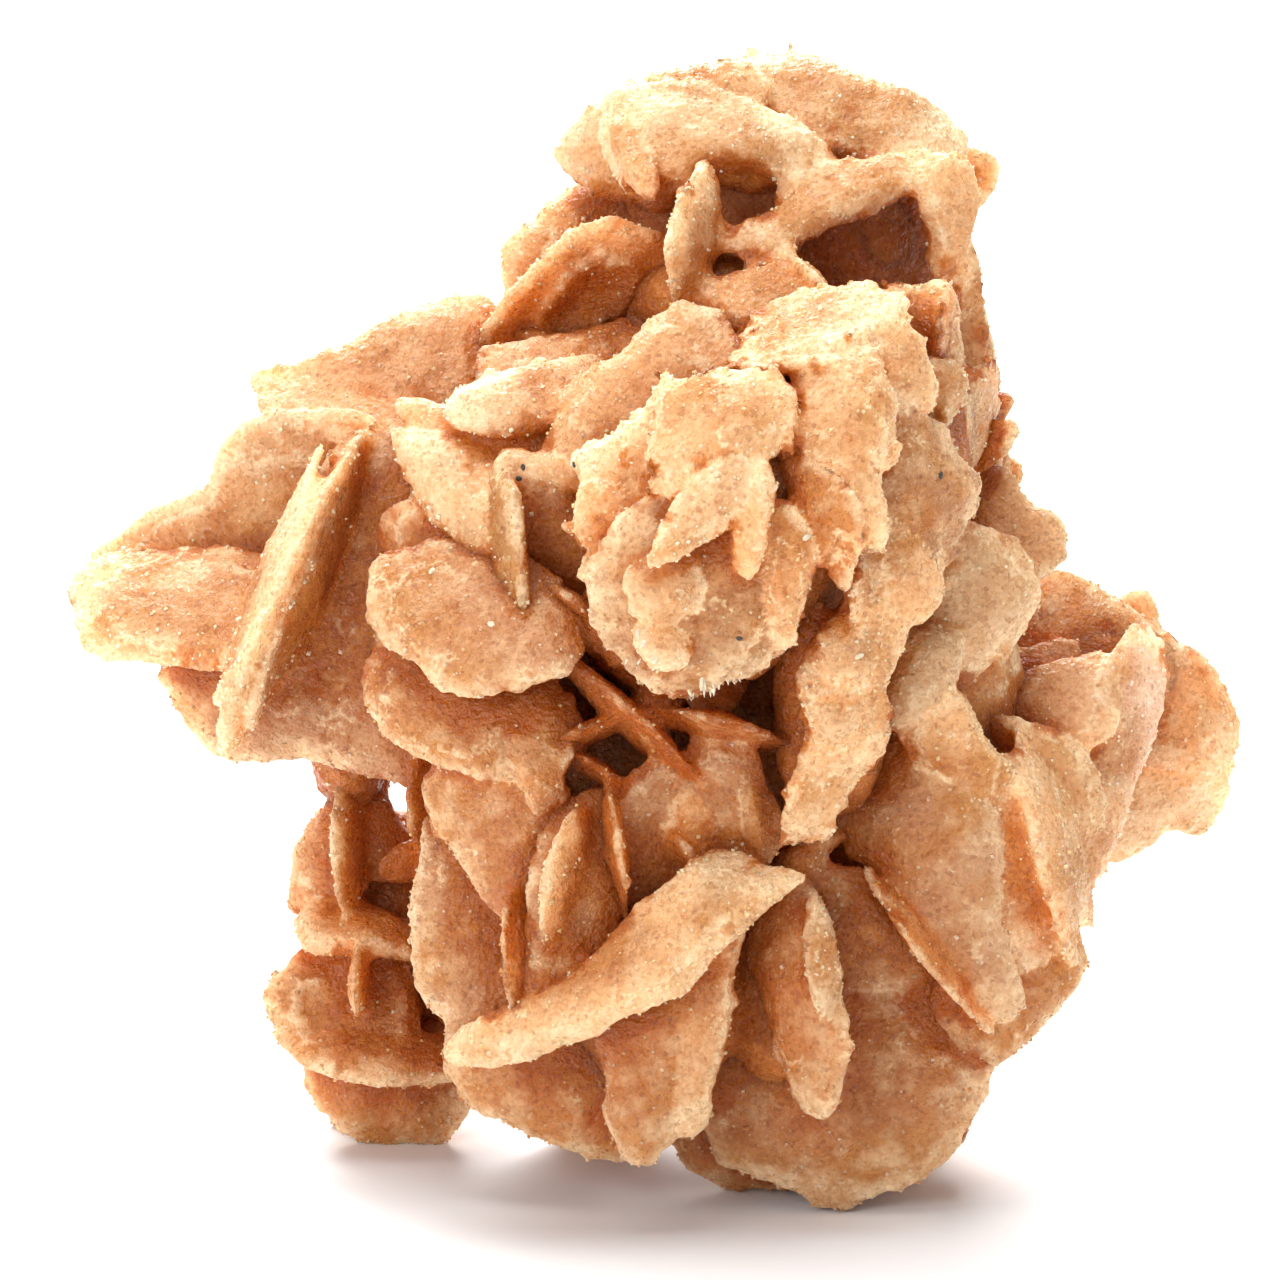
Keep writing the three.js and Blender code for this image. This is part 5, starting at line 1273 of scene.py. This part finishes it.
def sandy_gypsum():
    """Gypsum grown in sand. It is waxy and lets light some way in, so thin rims glow, and the sand
    in it gives single darker and duller grains, each about 0.24 mm wide. Its colour also holds
    painted shade in the clefts and painted glow on the rims that stand in the open."""
    material, tree = new_material("gypsum, grown in sand")
    place = add_node(tree, "ShaderNodeTexCoord").outputs["Object"]
    closeness = add_node(tree, "ShaderNodeAttribute", {"attribute_name": "rim"}).outputs["Fac"]
    shelter = add_node(tree, "ShaderNodeAttribute", {"attribute_name": "shelter"}).outputs["Fac"]
    clouds = add_node(
        tree, "ShaderNodeTexNoise",
        {"Scale": per_mm(2.2), "Detail": 2, "Roughness": 0.65}, {"Vector": place},
    ).outputs["Fac"]
    colour = clouded_tint(tree, clouds, place)
    # Painted shade in the clefts and painted glow on the open rims go into the colour.
    colour = painted_shade_in_clefts(tree, colour, shelter, closeness)
    colour = frost_and_painted_glow_at_rims(tree, colour, clouds, shelter, closeness)
    grains = add_node(tree, "ShaderNodeTexVoronoi", {"Scale": per_mm(0.24)}, {"Vector": place})
    grain = add_node(tree, "ShaderNodeSeparateColor", {}, {"Color": grains.outputs["Color"]})
    grain_light = add_node(
        tree, "ShaderNodeValToRGB",
        {"stops": [
            (0.0, linear("#BA8E66")),
            (0.1, linear("#DFC2A4")),
            (0.5, linear("#F5E9DC")),
            (1.0, linear("#FFFFFF")),
        ]},
        {"Fac": grain.outputs[0]},
    )
    grainy = add_node(
        tree, "ShaderNodeMix", {"data_type": "RGBA", "blend_type": "MULTIPLY", 0: 0.6},
        {6: colour, 7: grain_light.outputs["Color"]},
    )
    fine = add_node(
        tree, "ShaderNodeTexNoise",
        {"Scale": per_mm(0.3), "Detail": 1, "Roughness": 0.8}, {"Vector": place},
    )
    bump = add_node(
        tree, "ShaderNodeBump", {"Strength": 1.0, "Distance": 0.26 * MM},
        {"Height": fine.outputs["Fac"]},
    )
    roughness = add_node(
        tree, "ShaderNodeMapRange",
        {"From Min": 0.0, "From Max": 0.5, "To Min": 0.16, "To Max": 0.6},
        {"Value": grain.outputs[1]},
    )
    shader = add_node(
        tree, "ShaderNodeBsdfPrincipled",
        {
            "IOR": 1.52, "Subsurface Weight": 0.8, "subsurface_method": "BURLEY",
            "Subsurface Radius": (1.0, 0.72, 0.48), "Subsurface Scale": 2.6 * MM,
        },
        {
            "Base Color": grainy.outputs[2], "Normal": bump.outputs[0],
            "Roughness": roughness.outputs[0],
        },
    )
    add_node(tree, "ShaderNodeOutputMaterial", {}, {"Surface": shader.outputs[0]})
    return material


def quartz_grains():
    """Grains of desert quartz stuck on the crystals: clear, so they take the tint around them, and
    smooth enough to glint."""
    material, tree = new_material("quartz sand, cemented")
    tint = add_node(tree, "ShaderNodeAttribute", {"attribute_name": "tint"}).outputs["Color"]
    shader = add_node(
        tree, "ShaderNodeBsdfPrincipled",
        {
            "Roughness": 0.35, "IOR": 1.54, "Subsurface Weight": 0.6,
            "Subsurface Radius": (1.0, 0.5, 0.25), "Subsurface Scale": 0.5 * MM,
        },
        {"Base Color": tint},
    )
    add_node(tree, "ShaderNodeOutputMaterial", {}, {"Surface": shader.outputs[0]})
    return material


def plain_mineral(name, colour, roughness):
    """A mineral of one colour with a faint mottle."""
    material, tree = new_material(name)
    place = add_node(tree, "ShaderNodeTexCoord").outputs["Object"]
    mottle = add_node(
        tree, "ShaderNodeTexNoise", {"Scale": per_mm(0.3), "Detail": 3}, {"Vector": place}
    )
    shade = add_node(
        tree, "ShaderNodeMapRange",
        {"From Min": 0.3, "From Max": 0.7, "To Min": 0.75, "To Max": 1.1},
        {"Value": mottle.outputs["Fac"]},
    )
    tinted = add_node(
        tree, "ShaderNodeVectorMath", {"operation": "SCALE", 0: linear(colour)[:3]},
        {"Scale": shade.outputs[0]},
    )
    shader = add_node(
        tree, "ShaderNodeBsdfPrincipled",
        {
            "Roughness": roughness, "IOR": 1.52,
            "Subsurface Weight": 0.3, "Subsurface Scale": 0.5 * MM,
        },
        {"Base Color": tinted.outputs[0]},
    )
    add_node(tree, "ShaderNodeOutputMaterial", {}, {"Surface": shader.outputs[0]})
    return material


def strewn_grains(name, skins, count, seed, rim_pull, size):
    """Angular grains on the skins, more of them towards the rims."""
    rng = np.random.default_rng(seed)
    tables = []
    for skin in skins:
        mesh = skin.data
        corners = read_triangles(mesh)
        first = corners[:, 0]
        rim = read(mesh.attributes["rim"].data, "value", 1)[corners].mean(axis=1)
        shelter = read(mesh.attributes["shelter"].data, "value", 1)[first]
        tint = read(mesh.attributes["tint"].data, "color", 4)[first]
        tables.append((read_points(mesh)[corners], rim, shelter, tint))
    triangles, rim, shelter, tint = (np.concatenate([t[k] for t in tables]) for k in range(4))
    a, b, c = (triangles[:, k] for k in range(3))
    normal = np.cross(b - a, c - a)
    area = np.linalg.norm(normal, axis=1)
    weight = area * (0.15 + rim ** rim_pull) * np.clip(1.3 - 2.5 * shelter, 0, 1)
    chosen = rng.choice(len(area), count, p=weight / weight.sum())
    u, v = rng.random(count), rng.random(count)
    over = u + v > 1
    u[over], v[over] = 1 - u[over], 1 - v[over]
    normal = normal[chosen] / area[chosen][:, None]
    spot = a[chosen] + u[:, None] * (b - a)[chosen] + v[:, None] * (c - a)[chosen]
    radius = size * MM * (0.6 + 0.8 * rng.random(count)) / 2
    axes = np.linalg.qr(rng.normal(size=(count, 3, 3)))[0]
    axes *= np.sign(np.linalg.det(axes))[:, None, None]
    stretch = 0.7 + 0.6 * rng.random((count, 1, 3))
    shape = (OCTAHEDRON * stretch) @ axes * radius[:, None, None]
    spot = spot + normal * radius[:, None] * 0.3
    points = (shape + spot[:, None, :]).reshape(-1, 3)
    points[:, 2] = np.maximum(points[:, 2], 0)
    faces = (OCTAHEDRON_SIDES[None] + 6 * np.arange(count)[:, None, None]).reshape(-1, 3)
    obj = mesh_object(name, points, faces)
    pale = rng.random(count)[:, None] ** 2 * 0.6
    colour = tint[chosen] * (1 - pale) + np.array(linear("#F3DFC6")) * pale
    colour *= 0.85 + 0.25 * rng.random(count)[:, None]
    mark(obj.data, "tint", np.repeat(colour, 6, axis=0))
    return obj


def dress(obj, material):
    obj.data.materials.clear()
    obj.data.materials.append(material)
    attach(obj, "root")
    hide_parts(NODE)


def fringe():
    """The comb of needles under the lower rim of the nose's shield."""
    rng = np.random.default_rng(12)
    rim, middle, _ = plate_rim(NOSE["nose_shield"])
    low = rim[(rim[:, 2] < middle[2] - 3.4) & (rim[:, 0] < 7)]
    for point in low:
        for _ in range(NEEDLES_PER_POINT):
            aim = (point - middle) / np.linalg.norm(point - middle)
            aim = aim + np.array([0, 0, -0.6]) + rng.normal(size=3) * 0.1
            spot = point + rng.normal(size=3) * np.array([0.2, 0.22, 0.12]) - 0.75 * aim
            points, faces = needle(spot, aim, rng.uniform(0.55, 1.05), rng.uniform(0.1, 0.18))
            yield upright(points), faces


def front_bodies(crystals, first):
    """The bodies of a group's crystals with their tints. first is the first crystal's number."""
    for number, (name, crystal) in enumerate(crystals.items(), first):
        tint = tint_of(name, number)
        for body in crystal_bodies(crystal, number, name in CRUMBLY):
            yield body, tint


def rear_bodies(first):
    """The bodies of the rear feet, the rosettes, the heart and its coat, with their tints."""
    crystals = list(REAR_FEET.values())
    for i, rosette in enumerate(ROSETTES):
        crystals += rosette_leaves(rosette, 10 * i)
    for number, crystal in enumerate(crystals, first):
        tint = tint_of("rear", number)
        for body in crystal_bodies(crystal, number, False):
            yield body, tint
    number = first + len(crystals)
    for i, (at, half) in enumerate(HEART):
        yield heart_lump(at, half), tint_of("heart", number)
        for crystal in coat(at, half, i):
            rim, middle, face = leaf_rim(crystal)
            thick, blunt = crystal["thick"], crystal["blunt"]
            body = lens(rim, middle, face, thick, blunt=blunt, rings=FEW_RINGS, seed=number)
            yield body, tint_of("rear", number)
            number += 1


def build_rose():
    """Every piece of the sand rose."""
    skins = []
    first = 0
    for name, crystals, *fineness in GROUPS:
        skins.append(grown_skin(name, front_bodies(crystals, first), *fineness))
        first += len(crystals)
    skins.append(grown_skin("rear_and_heart", rear_bodies(first), *REAR))
    surface = mark_shelter(skins)
    gypsum = sandy_gypsum()
    for skin in skins:
        dress(skin, gypsum)
    sand = quartz_grains()
    for name, seed, rim_pull, size in STREWN:
        dress(strewn_grains(name, skins, GRAIN_COUNT, seed, rim_pull, size), sand)
    dark = [speck(*seen_at(surface, *at), DARK_HALF, k) for k, at in enumerate(DARK_SPECKS)]
    heavy = plain_mineral("dark heavy mineral, rounded", "#3B3A36", 0.4)
    dress(gathered("dark_specks", dark), heavy)
    pale = [speck(*seen_at(surface, *at), PALE_HALF, 40 + k) for k, at in enumerate(PALE_FLECKS)]
    frost = plain_mineral("clear gypsum, frosted", "#EBD9BE", 0.45)
    dress(gathered("pale_flecks", pale), frost)
    dress(gathered("fringe_needles", list(fringe())), frost)


def area_light(name, at, size, power):
    """A round white light that is turned to the middle of the sand rose, in metres and watts."""
    light = bpy.data.lights.new(name, "AREA")
    light.shape = "DISK"
    light.size = size
    light.energy = power
    obj = bpy.data.objects.new(name, light)
    bpy.context.scene.collection.objects.link(obj)
    obj.location = at
    obj.rotation_euler = (LIT_POINT - obj.location).to_track_quat("-Z", "Y").to_euler()


def build_studio():
    """The white paper that the sand rose stands on, and the light."""
    corners = np.array([(-3, -3, 0), (3, -3, 0), (3, 3, 0), (-3, 3, 0)], float)
    floor = mesh_object("floor", corners, [[0, 1, 2, 3]])
    material, tree = new_material("white paper, matt")
    shader = add_node(
        tree, "ShaderNodeBsdfPrincipled", {"Base Color": linear("#F7F7F7"), "Roughness": 0.9}
    )
    add_node(tree, "ShaderNodeOutputMaterial", {}, {"Surface": shader.outputs[0]})
    floor.data.materials.append(material)
    world = bpy.data.worlds.new("studio")
    world.use_nodes = True
    background = world.node_tree.nodes["Background"]
    background.inputs["Color"].default_value = linear("#FFFFFF")
    background.inputs["Strength"].default_value = 0.42
    bpy.context.scene.world = world
    for light in LIGHTS:
        area_light(*light)
    bpy.context.scene.view_settings.view_transform = "Standard"


def build_camera():
    """The camera that saw the photograph."""
    camera = bpy.data.cameras.new("camera")
    camera.sensor_width = SENSOR_WIDTH
    camera.lens = SENSOR_WIDTH * EYE_DISTANCE / PICTURE_WIDTH
    camera.clip_start = 0.01
    camera.clip_end = 20
    obj = bpy.data.objects.new("camera", camera)
    bpy.context.scene.collection.objects.link(obj)
    away = np.array([0, -math.cos(EYE_HEIGHT_ANGLE), math.sin(EYE_HEIGHT_ANGLE)])
    obj.location = (PICTURE_MIDDLE + EYE_DISTANCE * away) * MM
    obj.rotation_euler = Euler((math.pi / 2 - EYE_HEIGHT_ANGLE, 0, 0))
    bpy.context.scene.camera = obj


build_rose()
build_studio()
build_camera()
